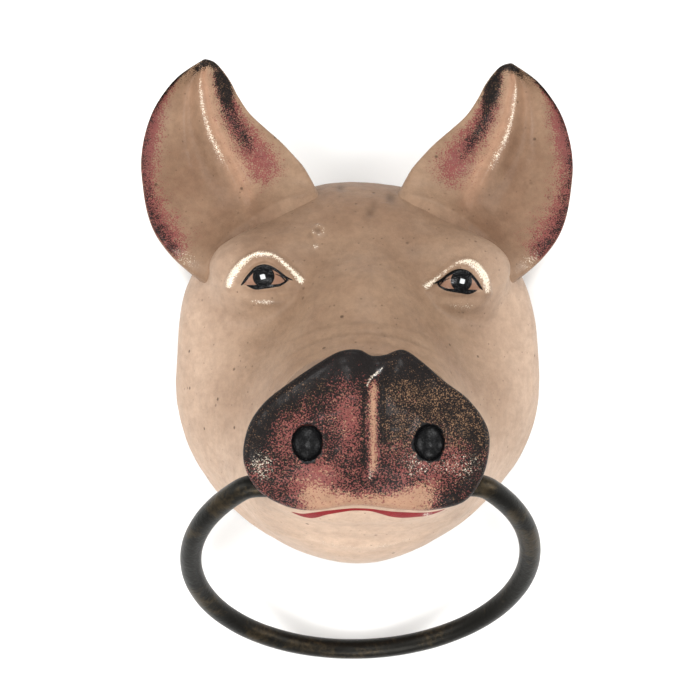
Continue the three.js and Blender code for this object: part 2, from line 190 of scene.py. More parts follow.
def spaced(count, span, density):
    """Count + 1 places from 0 to span, closer together where density is high."""
    fine = np.linspace(0, span, 4001)
    total = np.concatenate([[0], np.cumsum(density((fine[1:] + fine[:-1]) / 2))])
    return np.interp(np.linspace(0, total[-1], count + 1), total, fine)


# ---------------------------------------------------------------- head form

# Centre and radii of each lump, as shares of half the width, half the length and the seat
# height, and whether it has a twin on the other side.
LUMPS = {
    "face": ((0, 0, 0.14), (0.985, 1, 0.42), False),
    "cranium": ((0, 0.33, 0.14), (0.93, 0.69, 0.49), False),
    "jowls": ((0.38, -0.14, 0.16), (0.52, 0.52, 0.46), True),
    "chin": ((0, -0.48, 0.28), (0.5, 0.5, 0.46), False),
    "bridge": ((0, 0.13, 0.5), (0.38, 0.44, 0.34), False),
    "brow": ((0.48, 0.52, 0.48), (0.29, 0.17, 0.12), True),
    "eye": ((0.5, 0.41, 0.5), (0.16, 0.12, 0.11), True),
}
LUMP_BLEND = 10
NECK = {"drop": 3, "rise": 1, "inset": 8, "taper": 0.16, "spread": 26, "squareness": 3,
        "blend": 20, "foot": 34, "foot_blend": 30, "overrun": 10}
BISECTIONS = 12
FARTHEST = 220


class HeadForm:
    """The head's outer surface as a distance in millimetres, negative inside."""

    def __init__(self, sizes):
        self.half = np.array([sizes.head_width / 2, sizes.head_length / 2, sizes.seat_height]) / MM
        self.snout = np.array([sizes.snout_width / 2, sizes.snout_height / 2]) / MM
        self.snout_y = -sizes.snout_offset / MM
        self.core = np.array([0, self.snout_y / 4, self.half[2] * 0.4])

    def lump(self, points, centre, radii, paired):
        places = points.copy()
        if paired:
            places[:, 0] = np.abs(places[:, 0])
        radii = np.array(radii) * self.half
        q = (places - np.array(centre) * self.half) / radii
        reach = np.linalg.norm(q, axis=1)
        slope = np.linalg.norm(q / radii, axis=1)
        return reach * (reach - 1) / np.maximum(slope, 1e-9)

    def neck(self, points):
        x, y, z = points.T
        half_width, half_height = self.snout[0] - NECK["inset"], self.snout[1] + NECK["rise"]
        spread = np.maximum(0, 1 - z / self.half[2]) * NECK["spread"]
        rise = (y - self.snout_y + NECK["drop"]) / (half_height + spread)
        across = np.abs(x) / ((half_width + spread) * (1 - NECK["taper"] * rise))
        n = NECK["squareness"]
        reach = (across**n + np.abs(rise) ** n) ** (1 / n)
        return -blended((1 - reach) * (half_height + spread), z - NECK["foot"], NECK["foot_blend"])

    def distance(self, points):
        first, *others = LUMPS.values()
        distance = self.lump(points, *first)
        for lump in others:
            distance = blended(distance, self.lump(points, *lump), LUMP_BLEND)
        distance = blended(distance, self.neck(points), NECK["blend"])
        return np.maximum(distance, points[:, 2] - self.half[2] - NECK["overrun"])

    def reach(self, starts, headings):
        """The points where rays from inside the head meet its surface."""
        near, far = np.zeros(len(headings)), np.full(len(headings), float(FARTHEST))
        for _ in range(BISECTIONS):
            middle = (near + far) / 2
            inside = self.distance(starts + headings * middle[:, None]) < 0
            near, far = np.where(inside, middle, near), np.where(inside, far, middle)
        below, above = (self.distance(starts + headings * d[:, None]) for d in (near, far))
        share = np.clip(-below / np.maximum(above - below, 1e-9), 0, 1)
        return starts + headings * (near + (far - near) * share)[:, None]

    def normals(self, points, step=0.5):
        steps = np.eye(3) * step
        slope = np.stack(
            [self.distance(points + s) - self.distance(points - s) for s in steps], axis=1)
        return slope / np.linalg.norm(slope, axis=1, keepdims=True)

    def ball(self, polar, azimuth, offset=0.0, relief=None):
        """The surface as rings round the upright through the core, and their two poles."""
        a, b = np.meshgrid(polar, azimuth, indexing="ij")
        rings = np.stack([np.sin(a) * np.cos(b), np.sin(a) * np.sin(b), np.cos(a)], axis=-1)
        headings = np.vstack([[0, 0, 1], rings.reshape(-1, 3), [0, 0, -1]])
        points = self.reach(self.core, headings)
        outward = self.normals(points)
        if relief is not None:
            points = points + outward * relief(points)[:, None]
        return points + outward * offset


# ---------------------------------------------------------------- meshes

def ring_faces(rows, turns):
    """Quads between rings of points, and fans to a first and a last point."""
    ring = np.arange(rows * turns).reshape(rows, turns) + 1
    after = np.roll(ring, -1, axis=1)
    quads = np.stack([ring[:-1], ring[1:], after[1:], after[:-1]], axis=-1).reshape(-1, 4)
    first = np.stack([np.zeros(turns, int), ring[0], after[0]], axis=-1)
    last = np.stack([np.full(turns, rows * turns + 1), after[-1], ring[-1]], axis=-1)
    return quads, first, last


def turned_out(points, faces):
    """The same faces, reversed if they point into the solid."""
    volume = 0.0
    for group in faces:
        a, b, c = (points[group[:, i]] for i in (0, 1, 2))
        volume += np.einsum("ij,ij->", a, np.cross(b, c))
        if group.shape[1] == 4:
            volume += np.einsum("ij,ij->", a, np.cross(c, points[group[:, 3]]))
    return faces if volume > 0 else [group[:, ::-1] for group in faces]


def solid(name, points, rows, turns):
    """A closed mesh object of rings of points, which start and end with a pole."""
    faces = turned_out(points, ring_faces(rows, turns))
    mesh = bpy.data.meshes.new(name)
    corners = np.concatenate([group.ravel() for group in faces])
    sides = np.concatenate([np.full(len(group), group.shape[1]) for group in faces])
    mesh.vertices.add(len(points))
    mesh.vertices.foreach_set("co", (points * MM).astype(np.float32).ravel())
    mesh.loops.add(len(corners))
    mesh.loops.foreach_set("vertex_index", corners.astype(np.int32))
    mesh.polygons.add(len(sides))
    mesh.polygons.foreach_set("loop_start", (np.cumsum(sides) - sides).astype(np.int32))
    mesh.update(calc_edges=True)
    mesh.validate()
    piece = bpy.data.objects.new(name, mesh)
    bpy.context.scene.collection.objects.link(piece)
    return piece


def lathe(name, profile, start, heading, turns=48, warp=None):
    """A closed solid turned round heading; profile holds radius and height, from the axis
    to the axis. warp may change the radii by height and angle."""
    profile = np.asarray(profile, float)
    angles = np.linspace(0, 2 * math.pi, turns, endpoint=False)
    heading = Vector(heading).normalized()
    side = np.array(heading.orthogonal().normalized())
    other = np.cross(heading, side)
    heights, around = np.meshgrid(profile[1:-1, 1], angles, indexing="ij")
    radii = np.repeat(profile[1:-1, :1], turns, axis=1)
    if warp is not None:
        radii = warp(radii, heights, around)
    spokes = np.cos(around)[..., None] * side + np.sin(around)[..., None] * other
    rings = radii[..., None] * spokes + heights[..., None] * np.array(heading)
    ends = [profile[0, 1] * np.array(heading), profile[-1, 1] * np.array(heading)]
    points = np.vstack([ends[:1], rings.reshape(-1, 3), ends[1:]]) + np.array(start)
    return solid(name, points, len(profile) - 2, turns)


def prism(name, outline, low, high, axes):
    """A closed solid between low and high along the third axis; outline is star-shaped."""
    outline = np.asarray(outline, float)
    middle = outline.mean(axis=0)
    rings = [np.column_stack([outline, np.full(len(outline), level)]) for level in (low, high)]
    points = np.vstack([[*middle, low], *rings, [*middle, high]])
    return solid(name, points @ np.array(axes, float), 2, len(outline))


def box_outline(half_x, half_y, middle=(0, 0)):
    corners = np.array([(-1, -1), (1, -1), (1, 1), (-1, 1)], float)
    return corners * (half_x, half_y) + middle


def remove(piece):
    mesh = piece.data
    bpy.data.objects.remove(piece)
    bpy.data.meshes.remove(mesh)


def cut(piece, tools, operation="DIFFERENCE"):
    """Cuts tools out of piece, or joins or keeps them, and removes the tools."""
    for tool in tools:
        modifier = piece.modifiers.new("cut", "BOOLEAN")
        modifier.operation = operation
        modifier.solver = "MANIFOLD"
        modifier.object = tool
    evaluated = piece.evaluated_get(bpy.context.evaluated_depsgraph_get())
    mesh = bpy.data.meshes.new_from_object(evaluated)
    piece.modifiers.clear()
    old = piece.data
    piece.data = mesh
    bpy.data.meshes.remove(old)
    if not mesh.polygons:
        raise RuntimeError(f"nothing is left of {piece.name} after a {operation.lower()} cut")
    for tool in tools:
        remove(tool)
    return piece


def mesh_points(mesh):
    points = np.empty(len(mesh.vertices) * 3, np.float32)
    mesh.vertices.foreach_get("co", points)
    return points.reshape(-1, 3).astype(float) / MM


def with_poles(values):
    """A grid's values, with the first and the last one again for its two poles."""
    return np.concatenate([values[:1], values, values[-1:]])


def store(mesh, fields):
    """Keeps fields of numbers on the mesh, for its material to read by name."""
    for name, values in fields.items():
        layer = mesh.attributes.get(name) or mesh.attributes.new(name, "FLOAT", "POINT")
        layer.data.foreach_set("value", values.astype(np.float32))


def finish_piece(piece, body, nodes, material, sharp=35):
    """Smooth shades a piece up to sharp degrees, and puts it in its CAD nodes' place."""
    mesh = piece.data
    mesh.polygons.foreach_set("use_smooth", np.ones(len(mesh.polygons), bool))
    mesh.set_sharp_from_angle(angle=math.radians(sharp))
    mesh.materials.clear()
    mesh.materials.append(material)
    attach(piece, body)
    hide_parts(*nodes)


# ---------------------------------------------------------------- node helpers

def put(tree, kind, inputs=None, **settings):
    """Adds a node; inputs are linked if they are sockets, and are set if they are values."""
    node = tree.nodes.new(kind)
    for name, value in settings.items():
        setattr(node, name, value)
    for key, value in (inputs or {}).items():
        if isinstance(value, bpy.types.NodeSocket):
            tree.links.new(value, node.inputs[key])
        else:
            node.inputs[key].default_value = value
    return node


def stepped(tree, value, low, high):
    """A smooth step of value from low to high."""
    inputs = {"Value": value, "From Min": low, "From Max": high}
    return put(tree, "ShaderNodeMapRange", inputs, interpolation_type="SMOOTHSTEP").outputs[0]


def maths(tree, operation, *values):
    """The result of a Math node, whose values are numbers or sockets."""
    return put(tree, "ShaderNodeMath", dict(enumerate(values)), operation=operation).outputs[0]


def mixed(tree, factor, a, b, blend="MIX"):
    """Two colours, each a socket or three numbers, mixed by factor."""
    first, second = (c if isinstance(c, bpy.types.NodeSocket) else (*c, 1) for c in (a, b))
    inputs = {0: factor, 6: first, 7: second}
    return put(tree, "ShaderNodeMix", inputs, data_type="RGBA", blend_type=blend).outputs[2]


def field(tree, name):
    return put(tree, "ShaderNodeAttribute", attribute_name=name).outputs["Fac"]


def object_place(tree):
    return put(tree, "ShaderNodeTexCoord").outputs["Object"]


def cloud(tree, scale, detail=3.0, roughness=0.55, distortion=0.0, place=None):
    """Noise whose lumps are scale to the metre."""
    inputs = {"Vector": object_place(tree) if place is None else place, "Scale": scale,
              "Detail": detail, "Roughness": roughness, "Distortion": distortion}
    return put(tree, "ShaderNodeTexNoise", inputs).outputs["Fac"]


def new_group(name, inputs, outputs):
    """An empty node group with float sockets, and its input and output nodes."""
    tree = bpy.data.node_groups.new(name, "ShaderNodeTree")
    for socket, default in inputs.items():
        made = tree.interface.new_socket(socket, in_out="INPUT", socket_type="NodeSocketFloat")
        made.default_value = default
    for socket in outputs:
        tree.interface.new_socket(socket, in_out="OUTPUT", socket_type="NodeSocketFloat")
    return tree, put(tree, "NodeGroupInput"), put(tree, "NodeGroupOutput")


def group(tree, name, **inputs):
    """A node of a shared group, which is built when it is first asked for."""
    shared = bpy.data.node_groups.get(name) or GROUPS[name]()
    node = put(tree, "ShaderNodeGroup", node_tree=shared)
    for key, value in inputs.items():
        socket = node.inputs[key.replace("_", " ").title()]
        if isinstance(value, bpy.types.NodeSocket):
            tree.links.new(value, socket)
        else:
            socket.default_value = value
    return node


def spray_group():
    """Speckled spray paint: Mask is 1 in the droplets, which close up as Coverage rises."""
    inputs = {"Coverage": 0.5, "Scale": 1500.0, "Softness": 0.1}
    tree, given, out = new_group("Spray", inputs, ["Mask"])
    coverage, scale, softness = (given.outputs[name] for name in inputs)
    place = object_place(tree)
    fine = cloud(tree, scale, 2.0, 0.6, place=place)
    coarse = cloud(tree, maths(tree, "MULTIPLY", scale, 0.16), 2.0, 0.5, place=place)
    lumps = maths(tree, "MULTIPLY_ADD", coarse, 0.25, fine)
    level = maths(tree, "MULTIPLY_ADD", coverage, 0.5, -0.875)
    low, high = (maths(tree, "MULTIPLY", softness, half) for half in (-0.5, 0.5))
    droplets = stepped(tree, maths(tree, "ADD", lumps, level), low, high)
    some = stepped(tree, coverage, 0.0, 0.12)
    tree.links.new(maths(tree, "MULTIPLY", droplets, some), out.inputs["Mask"])
    return tree


def varnish_group():
    """Old brushed varnish: Height is its orange peel and fine crackle, Roughness its sheen."""
    tree, given, out = new_group(
        "Varnish", {"Scale": 1.0, "Base Roughness": 0.3, "Crackle": 0.5}, ["Height", "Roughness"])
    scaled = put(tree, "ShaderNodeVectorMath", {0: object_place(tree)}, operation="SCALE")
    tree.links.new(given.outputs["Scale"], scaled.inputs["Scale"])
    place = scaled.outputs[0]
    peel = cloud(tree, 420.0, 3.0, 0.6, place=place)
    broad = cloud(tree, 110.0, 2.0, 0.5, place=place)
    cells = put(tree, "ShaderNodeTexVoronoi", {"Vector": place, "Scale": 900.0},
                feature="DISTANCE_TO_EDGE").outputs["Distance"]
    crack = maths(tree, "MULTIPLY", stepped(tree, cells, 0.0, 0.12), given.outputs["Crackle"])
    height = maths(tree, "MULTIPLY_ADD", broad, 1.4, maths(tree, "MULTIPLY", peel, 0.8))
    height = maths(tree, "MULTIPLY_ADD", crack, 0.25, height)
    tree.links.new(height, out.inputs["Height"])
    base = maths(tree, "SUBTRACT", given.outputs["Base Roughness"], 0.11)
    tree.links.new(maths(tree, "MULTIPLY_ADD", broad, 0.22, base), out.inputs["Roughness"])
    return tree


def scattered_dots(tree, place, scale, radius, channel, rarity):
    """Dots scale to the metre, of which only the few with a high enough random shade stay."""
    cells = put(tree, "ShaderNodeTexVoronoi", {"Vector": place, "Scale": scale})
    dots = stepped(tree, cells.outputs["Distance"], *radius)
    shade = put(tree, "ShaderNodeSeparateColor", {"Color": cells.outputs["Color"]})
    return maths(tree, "MULTIPLY", dots, stepped(tree, shade.outputs[channel], *rarity))


def age_group():
    """Age of the paint: dark Specks, broad Blotches, brushed Streaks and a fine Mottle."""
    tree, given, out = new_group(
        "Paint age", {"Specks": 0.5}, ["Specks", "Blotches", "Streaks", "Mottle"])
    place = object_place(tree)
    pits = scattered_dots(tree, place, 150.0, (0.13, 0.05), 0, (0.55, 0.8))
    dust = scattered_dots(tree, place, 420.0, (0.2, 0.08), 1, (0.68, 0.9))
    dots = maths(tree, "MAXIMUM", pits, maths(tree, "MULTIPLY", dust, 0.6))
    tree.links.new(maths(tree, "MULTIPLY", dots, given.outputs["Specks"]), out.inputs["Specks"])
    stretched = put(tree, "ShaderNodeMapping",
                    {"Vector": place, "Scale": (1.0, 3.2, 1.0)}).outputs[0]
    for name, where, scale, detail, roughness, low, high in (
            ("Blotches", place, 38.0, 4.0, 0.6, 0.35, 0.7),
            ("Streaks", stretched, 90.0, 5.0, 0.65, 0.42, 0.75),
            ("Mottle", place, 260.0, 6.0, 0.75, 0.3, 0.7)):
        lumps = cloud(tree, scale, detail, roughness, place=where)
        tree.links.new(stepped(tree, lumps, low, high), out.inputs[name])
    return tree


GROUPS = {"Spray": spray_group, "Varnish": varnish_group, "Paint age": age_group}


def new_material(name, shader_values):
    """A material, its node tree and its shader, with the shader's constants set."""
    material = bpy.data.materials.new(name)
    material.use_nodes = True
    shader = material.node_tree.nodes["Principled BSDF"]
    for socket, value in shader_values.items():
        shader.inputs[socket].default_value = value
    return material, material.node_tree, shader


def bumped(tree, shader, height, strength, distance):
    """Makes height show as a relief; distance is how tall 1 of it is, in metres."""
    inputs = {"Height": height, "Strength": strength, "Distance": distance}
    bump = put(tree, "ShaderNodeBump", inputs)
    tree.links.new(bump.outputs[0], shader.inputs["Normal"])


def painted(name, base_colour, crackle=0.5):
    """A varnished paint whose colour base_colour(tree, age) works out, from the age group."""
    material, tree, shader = new_material(name, VARNISH)
    age = group(tree, "Paint age", specks=0.9)
    mottle = maths(tree, "MULTIPLY_ADD", age.outputs["Mottle"], 0.22, 0.88)
    shade = mixed(tree, 1.0, base_colour(tree, age), mottle, "MULTIPLY")
    tree.links.new(shade, shader.inputs["Base Color"])
    varnish = group(tree, "Varnish", base_roughness=0.5, crackle=crackle)
    bloom_and_highlight, gloss = field(tree, "bloom_and_highlight"), field(tree, "gloss")
    shine = maths(tree, "MULTIPLY_ADD", bloom_and_highlight, 0.2, maths(tree, "MULTIPLY", gloss, 0.3))
    rough = maths(tree, "SUBTRACT", varnish.outputs["Roughness"], shine)
    tree.links.new(maths(tree, "MAXIMUM", rough, 0.1), shader.inputs["Roughness"])
    tree.links.new(maths(tree, "MULTIPLY_ADD", bloom_and_highlight, 0.7, 0.05), shader.inputs["Coat Weight"])
    pitted = maths(tree, "MULTIPLY", age.outputs["Specks"], 1.2)
    bumped(tree, shader, maths(tree, "SUBTRACT", varnish.outputs["Height"], pitted), 0.5, 0.0005)
    return material


VARNISH = {"Specular IOR Level": 0.14, "Coat Roughness": 0.22}


# ---------------------------------------------------------------- face

UP = np.array([0.0, 0.0, 1.0])
EAR_ANGLE = math.radians(127)
# The way each ear points on its own side, with x measured away from the middle.
EAR_HEADING = np.array([-math.cos(EAR_ANGLE), math.sin(EAR_ANGLE)])
# The middle of each eye, across and up the face. Across runs from each towards the snout.
EYES = ((-37.1, 34.0), (38.1, 32.7))
LID_REACH = 8.2
LID_SPAN = 17.0
IRIS = 4.15
UPPER_LID = ((-8.4, -3.0, 0.2), (-6.9, -1.2, 0.45), (-5.3, 0.75, 0.5), (-2.9, 3.1, 0.55),
             (-0.1, 4.0, 0.6), (2.6, 3.5, 0.55), (5.4, 2.0, 0.42), (8.0, 0.0, 0.42),
             (10.9, -1.3, 0.08))
LOWER_LID = ((5.6, 1.9, 0.15), (7.4, 0.6, 0.2), (8.8, -1.2, 0.3), (6.5, -3.05, 0.4),
             (3.9, -3.6, 0.5), (0.1, -3.95, 0.7), (-2.9, -4.1, 0.8), (-5.3, -3.6, 0.35),
             (-6.4, -3.2, 0.05))
LID_DOUBLE = ((4.4, 1.0, 0.05), (6.6, 0.1, 0.14), (8.2, -1.4, 0.1), (9.6, -1.5, 0.0))
LID_SPREAD = 0.1
# The fold over each eye, from its outer end: across, up and half width of its shine.
FOLDS = (((-13.4, -3.0, 1.0), (-12.0, 0.6, 1.3), (-8.3, 5.0, 1.2), (-4.3, 7.9, 0.8),
          (-0.8, 8.8, 0.8), (3.4, 8.1, 0.6), (6.8, 5.8, 0.6), (10.4, 2.5, 0.7),
          (14.2, -1.6, 1.1)),
         ((-10.4, -3.2, 1.0), (-9.4, 1.0, 1.3), (-7.0, 4.8, 1.5), (-3.4, 7.3, 1.2),
          (1.3, 6.8, 0.2), (5.5, 4.0, 0.1), (9.8, 0.7, 0.5), (13.4, -2.3, 1.1)))
EYE_FLOOR = 38
NOWHERE = -50.0

# The mouth, as seen from in front of the face: x, y and half width of the brushed line.
MOUTH = ((-28.5, -52.0, 0.1), (-25.0, -53.0, 0.45), (-21.9, -53.9, 1.0), (-17.5, -53.3, 1.1),
         (-13.9, -52.4, 0.8), (-9.0, -51.6, 0.6), (-4.5, -51.1, 0.45), (1.0, -51.3, 0.45),
         (5.0, -52.1, 0.7), (9.0, -53.0, 1.05), (13.2, -53.4, 1.15), (18.0, -53.4, 0.9),
         (22.5, -53.2, 0.75), (27.0, -52.2, 0.4), (31.0, -50.9, 0.1))
LIP_TOP = 87.0
LIP_ROUND = 9.0
LIP_TUCK = 4.0

# The wrinkles over the snout: how far up the face, how strong and how wide each is.
WRINKLES = ((6.9, 0.5, 0.6), (10.4, 1.0, 0.7), (14.6, 0.6, 0.8))
WRINKLE_DROOP = 0.0115
# Pits in the crown: x, y, radius and depth. The crater and the dot have x, y and radius.
PITS = ((4.0, 61.0, 1.7, 0.5), (12.5, 68.8, 2.0, 0.6), (-7.2, 74.5, 1.8, 0.5),
        (5.5, 64.5, 1.2, 0.35), (-19.5, 51.0, 1.0, 0.3))
CRATER = (-16.5, 53.4, 2.1)
PAINT_DOT = (-17.6, 46.4, 0.9)


def eye_place(points, eye):
    """Across and up from the middle of an eye."""
    inward = -math.copysign(1, eye[0])
    return (points[:, 0] - eye[0]) * inward, points[:, 1] - eye[1]


def lid_edges(across):
    """The upper and the lower edge of the eye's opening."""
    share = np.clip((across + LID_REACH) / LID_SPAN, 0, 1)
    corner = -2.4 + 0.9 * share
    arch = np.sin(math.pi * share)
    return corner + 6.1 * arch, corner - 2.05 * arch**0.7


def lid_opening(across, rise):
    """How far a point is inside the eye's opening."""
    upper, lower = lid_edges(across)
    ends = np.minimum(across + LID_REACH, LID_SPAN - LID_REACH - across)
    return np.minimum(np.minimum(upper - rise, rise - lower), ends + 0.2)


def thin(stroke):
    return [(x, y, 0.0) for x, y, _ in stroke]


def eye_relief(across, rise, stroke):
    """The eyeball in its lids, the fold over it and the bag under it."""
    upper, lower = lid_edges(across)
    opening = ramp(lid_opening(across, rise), -0.35, 0.45)
    ball = 1.9 * np.sqrt(np.clip(1 - (across**2 + rise**2) / 95, 0, 1)) - 1.6
    gap = -brush_line(across, rise, thin(stroke))
    within = [(x * 0.8, y - 2.6, 0.0) for x, y, _ in stroke[1:-1]]
    fold = 1.35 * ridge(gap, 1.5) - 0.5 * ridge(-brush_line(across, rise, within), 1.1)
    fold += 0.35 * ridge(gap, 4.5)
    corners = ramp(LID_REACH + 1.4 - np.abs(across), 0, 3)
    lid = 0.5 * ridge(rise - upper - 0.8, 0.7) + 0.4 * ridge(rise - lower + 0.8, 0.7)
    near = ramp(13 - np.abs(across), 0, 6)
    bag = 0.8 * ridge(rise + 9.4 - 0.02 * across**2, 2.2) - 0.4 * ridge(rise + 6.2, 1.3)
    return opening * ball + (1 - opening) * (fold + corners * lid + near * bag)


def eye_highlight_and_crazing(across, rise, stroke):
    """Painted highlight and crazed varnish over an eye: along the fold and the bag."""
    fold = ramp(brush_line(across, rise, stroke), -0.9, 0.7)
    bag = 0.6 * ridge(rise + 9.6 - 0.02 * across**2, 0.7) * ramp(6.0 - np.abs(across + 0.5), 0, 4)
    return np.maximum(fold, bag)


def lip_relief(points):
    """The lower lip's rounded top edge, the groove of the mouth and the chin's creases."""
    x, y, z = points.T
    front = ramp(-y, 40, 47)
    edge = np.clip((z - LIP_TOP) / LIP_ROUND, 0, 1)
    tuck = LIP_TUCK * (1 - np.sqrt(np.clip(1 - edge**2, 0, 1)))
    swell = 1.0 * ridge(z - LIP_TOP + 3, 5.0) * ramp(30 - np.abs(x), 0, 14)
    under = -0.6 * ridge(z - 66 + 0.006 * x**2, 3.6) * ramp(30 - np.abs(x), 0, 16)
    chin = 0.15 * ridge(z - 60 - 0.004 * x**2, 2.2) - 0.12 * ridge(z - 55.5, 1.6)
    return front * (swell - tuck + under + chin * ramp(22 - np.abs(x), 0, 12))


def wrinkle_relief(points):
    """Shallow folds over the snout."""
    x, y, z = points.T
    total = np.zeros(len(x))
    for i, (middle, strength, width) in enumerate(WRINKLES):
        off = y - middle + WRINKLE_DROOP * (1 - 0.15 * i) * x**2
        total += strength * (0.16 * ridge(off - 1.5, 1.2) - 0.32 * ridge(off, width))
    return total * ramp(31 - np.abs(x), 0, 12) * ramp(z, 66, 74)


def crown_relief(points):
    """The pits in the crown, the crater and the raised dot of paint under it."""
    x, y, z = points.T
    total = np.zeros(len(x))
    for px, py, radius, depth in PITS:
        total -= depth * ridge(np.hypot(x - px, (y - py) * 0.8), radius)
    away = np.hypot(x - CRATER[0], y - CRATER[1])
    total += 0.35 * ridge(away - CRATER[2], 0.7) - 0.4 * ridge(away, 1.3)
    total += 0.3 * ridge(np.hypot(x - PAINT_DOT[0], y - PAINT_DOT[1]), PAINT_DOT[2])
    return total * ramp(z, 15, 25)


def face_relief(points):
    """How far the finished face stands out from the plain form."""
    total = lip_relief(points) + wrinkle_relief(points) + crown_relief(points)
    top = ramp(points[:, 2], EYE_FLOOR, 46)
    for eye, stroke in zip(EYES, FOLDS):
        place = eye_place(points, eye)
        total += eye_relief(*place, stroke) * top * ramp(24 - np.hypot(*place), 0, 6)
    # the cast is fuller at its right cheek
    total += 2.0 * ramp(points[:, 0], 42, 70) * ridge(points[:, 1] - 2, 44)
    total += 0.36 * grain(points, 17) + 0.13 * grain(points, 5, 3.0)
    # the lower edge is eased where the shell meets the plate
    total -= 0.7 * ramp(SHELL_LOW + 1.4 - points[:, 2], 0, 1.4)
    return total


def face_paint(points):
    """Fields for the face's paint: each is above 0 where its paint is, in millimetres."""
    iris, opening, lines, catch = (np.full(len(points), NOWHERE) for _ in range(4))
    gloss = np.zeros(len(points))
    for eye, stroke in zip(EYES, FOLDS):
        across, rise = eye_place(points, eye)
        # painted highlight along each eye's fold and bag, kept with the pale crazing below
        gloss = np.maximum(gloss, eye_highlight_and_crazing(across, rise, stroke) * (points[:, 2] > EYE_FLOOR))
        gap = lid_opening(across, rise)
        near = np.where(np.hypot(across, rise) < 14, 0, -40)
        opening = np.maximum(opening, gap + near)
        iris = np.maximum(iris, np.minimum(IRIS - np.hypot(across, rise), gap) + near)
        for stroke in (UPPER_LID, LOWER_LID, LID_DOUBLE):
            lines = np.maximum(lines, brush_line(across, rise, stroke) + LID_SPREAD + near)
        square = np.abs([across + 0.35 + 0.25 * rise, rise + 0.1 - 0.25 * across]).max(axis=0)
        catch = np.maximum(catch, 0.95 - square + near)
    x, y, z = points.T
    mouth = np.where(y < -44, brush_line(x, y, MOUTH), NOWHERE) - 0.4 * np.clip(86 - z, 0, 100)
    # painted highlight: a pale band along the chin's fold and a glint on the lower lip
    chin_and_lip_highlight = 0.22 * ridge(z - 60 - 0.004 * x**2, 2.2)
    chin_and_lip_highlight *= ramp(-y, 50, 56) * ramp(26 - np.abs(x), 0, 10)
    chin_and_lip_highlight += 0.7 * ridge(np.hypot((x - 21.5) / 2, y + 53.3), 0.8)
    wear = np.clip(0.8 * ridge(np.hypot(x - PAINT_DOT[0], y - PAINT_DOT[1]), 1.0)
                   + 0.38 * ridge(np.hypot(x - CRATER[0], y - CRATER[1]) - CRATER[2], 0.6), 0, 1)
    shine = np.maximum(np.maximum(iris, lines), opening)
    return {"iris": iris, "gloss": ramp(shine, -0.2, 0.2), "eye_opening": opening,
            "lid_lines": lines, "catch_light": catch, "mouth": mouth,
            "creases": crease_shade_field(points),
            "bloom_and_highlight": np.clip(np.maximum(np.maximum(gloss, chin_and_lip_highlight), wear * (z > 15)), 0, 1)}


def crease_shade_field(points):
    """Painted shade at the ear roots, under the brows, in the wrinkles and round the pits."""
    x, y, z = points.T
    along = np.abs(x) * EAR_HEADING[1] - y * EAR_HEADING[0]
    out = np.abs(x) * EAR_HEADING[0] + y * EAR_HEADING[1]
    root = ridge(out - 68.5, 6.0) * ramp(36 - np.abs(along), 0, 14) * ramp(z, 8, 22)
    folds = np.clip(-2.4 * wrinkle_relief(points), 0, 1)
    pits = np.clip(-1.8 * crown_relief(points), 0, 1)
    brow = sum(ridge(np.hypot((x - s * 20) / 1.5, y - 42), 6) for s in (-1, 1))
    return np.clip(0.16 * root + 0.5 * folds + 0.9 * pits + 0.25 * brow, 0, 1)


def brushed(tree, name):
    """Where a paint that was brushed on is; its field is a depth in millimetres."""
    return stepped(tree, field(tree, name), -0.12, 0.12)


def with_pale_highlight_grains(tree, shade, colours):
    """Pale crazing and painted highlights over the folds, in grains."""
    cover = maths(tree, "MULTIPLY", field(tree, "bloom_and_highlight"), 0.66)
    grains = group(tree, "Spray", coverage=cover, scale=2000.0, softness=0.24)
    return mixed(tree, maths(tree, "MULTIPLY", grains.outputs["Mask"], 0.9), shade, colours.bloom_and_highlight)


def skin_colour(colours):
    def work(tree, age):
        place = put(tree, "ShaderNodeSeparateXYZ", {"Vector": object_place(tree)})
        # painted light: paler towards the chin and the outer cheeks
        low = stepped(tree, place.outputs["Y"], 0.012, -0.052)
        side = stepped(tree, maths(tree, "ABSOLUTE", place.outputs["X"]), 0.030, 0.072)
        pale = maths(tree, "MAXIMUM", low, maths(tree, "MULTIPLY", side, 0.75))
        shade = mixed(tree, pale, colours.skin, colours.skin_painted_light)
        # painted shade: browner towards the brow and crown, with random brown blotches
        brow = stepped(tree, place.outputs["Y"], 0.0, 0.075)
        blotches = maths(tree, "MULTIPLY", age.outputs["Blotches"], 0.35)
        glaze = maths(tree, "MULTIPLY_ADD", brow, 0.22, blotches)
        glaze = maths(tree, "MULTIPLY", glaze, maths(tree, "MULTIPLY_ADD", pale, -0.6, 1.0))
        shade = mixed(tree, glaze, shade, colours.skin_brown_and_shade)
        streaks = maths(tree, "MULTIPLY", age.outputs["Streaks"], 0.14)
        shade = mixed(tree, streaks, shade, colours.skin_brown_and_shade)
        # painted shade darkens the creases, the ear roots, under the brows and the pits
        creases = maths(tree, "MULTIPLY", field(tree, "creases"), 0.62)
        shade = mixed(tree, creases, shade, colours.dirt_and_shade)
        specks = maths(tree, "MULTIPLY", age.outputs["Specks"], 0.8)
        shade = mixed(tree, specks, shade, colours.dirt_and_shade)
        layers = (("eye_opening", colours.sclera), ("iris", colours.line),
                  ("catch_light", colours.catch), ("lid_lines", colours.line),
                  ("mouth", colours.lip_red))
        for name, paint in layers:
            shade = mixed(tree, brushed(tree, name), shade, paint)
        return with_pale_highlight_grains(tree, shade, colours)
    return work


# ---------------------------------------------------------------- head shell and its cuts

BASE_SCREWS = [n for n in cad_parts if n.startswith("base_screw")]
SNOUT_SCREWS = [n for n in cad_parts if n.startswith("snout_screw")]
EAR_SCREWS = [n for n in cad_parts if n.startswith("ear_screw")]
WASHERS = [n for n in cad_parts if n.startswith("snout_washer")]
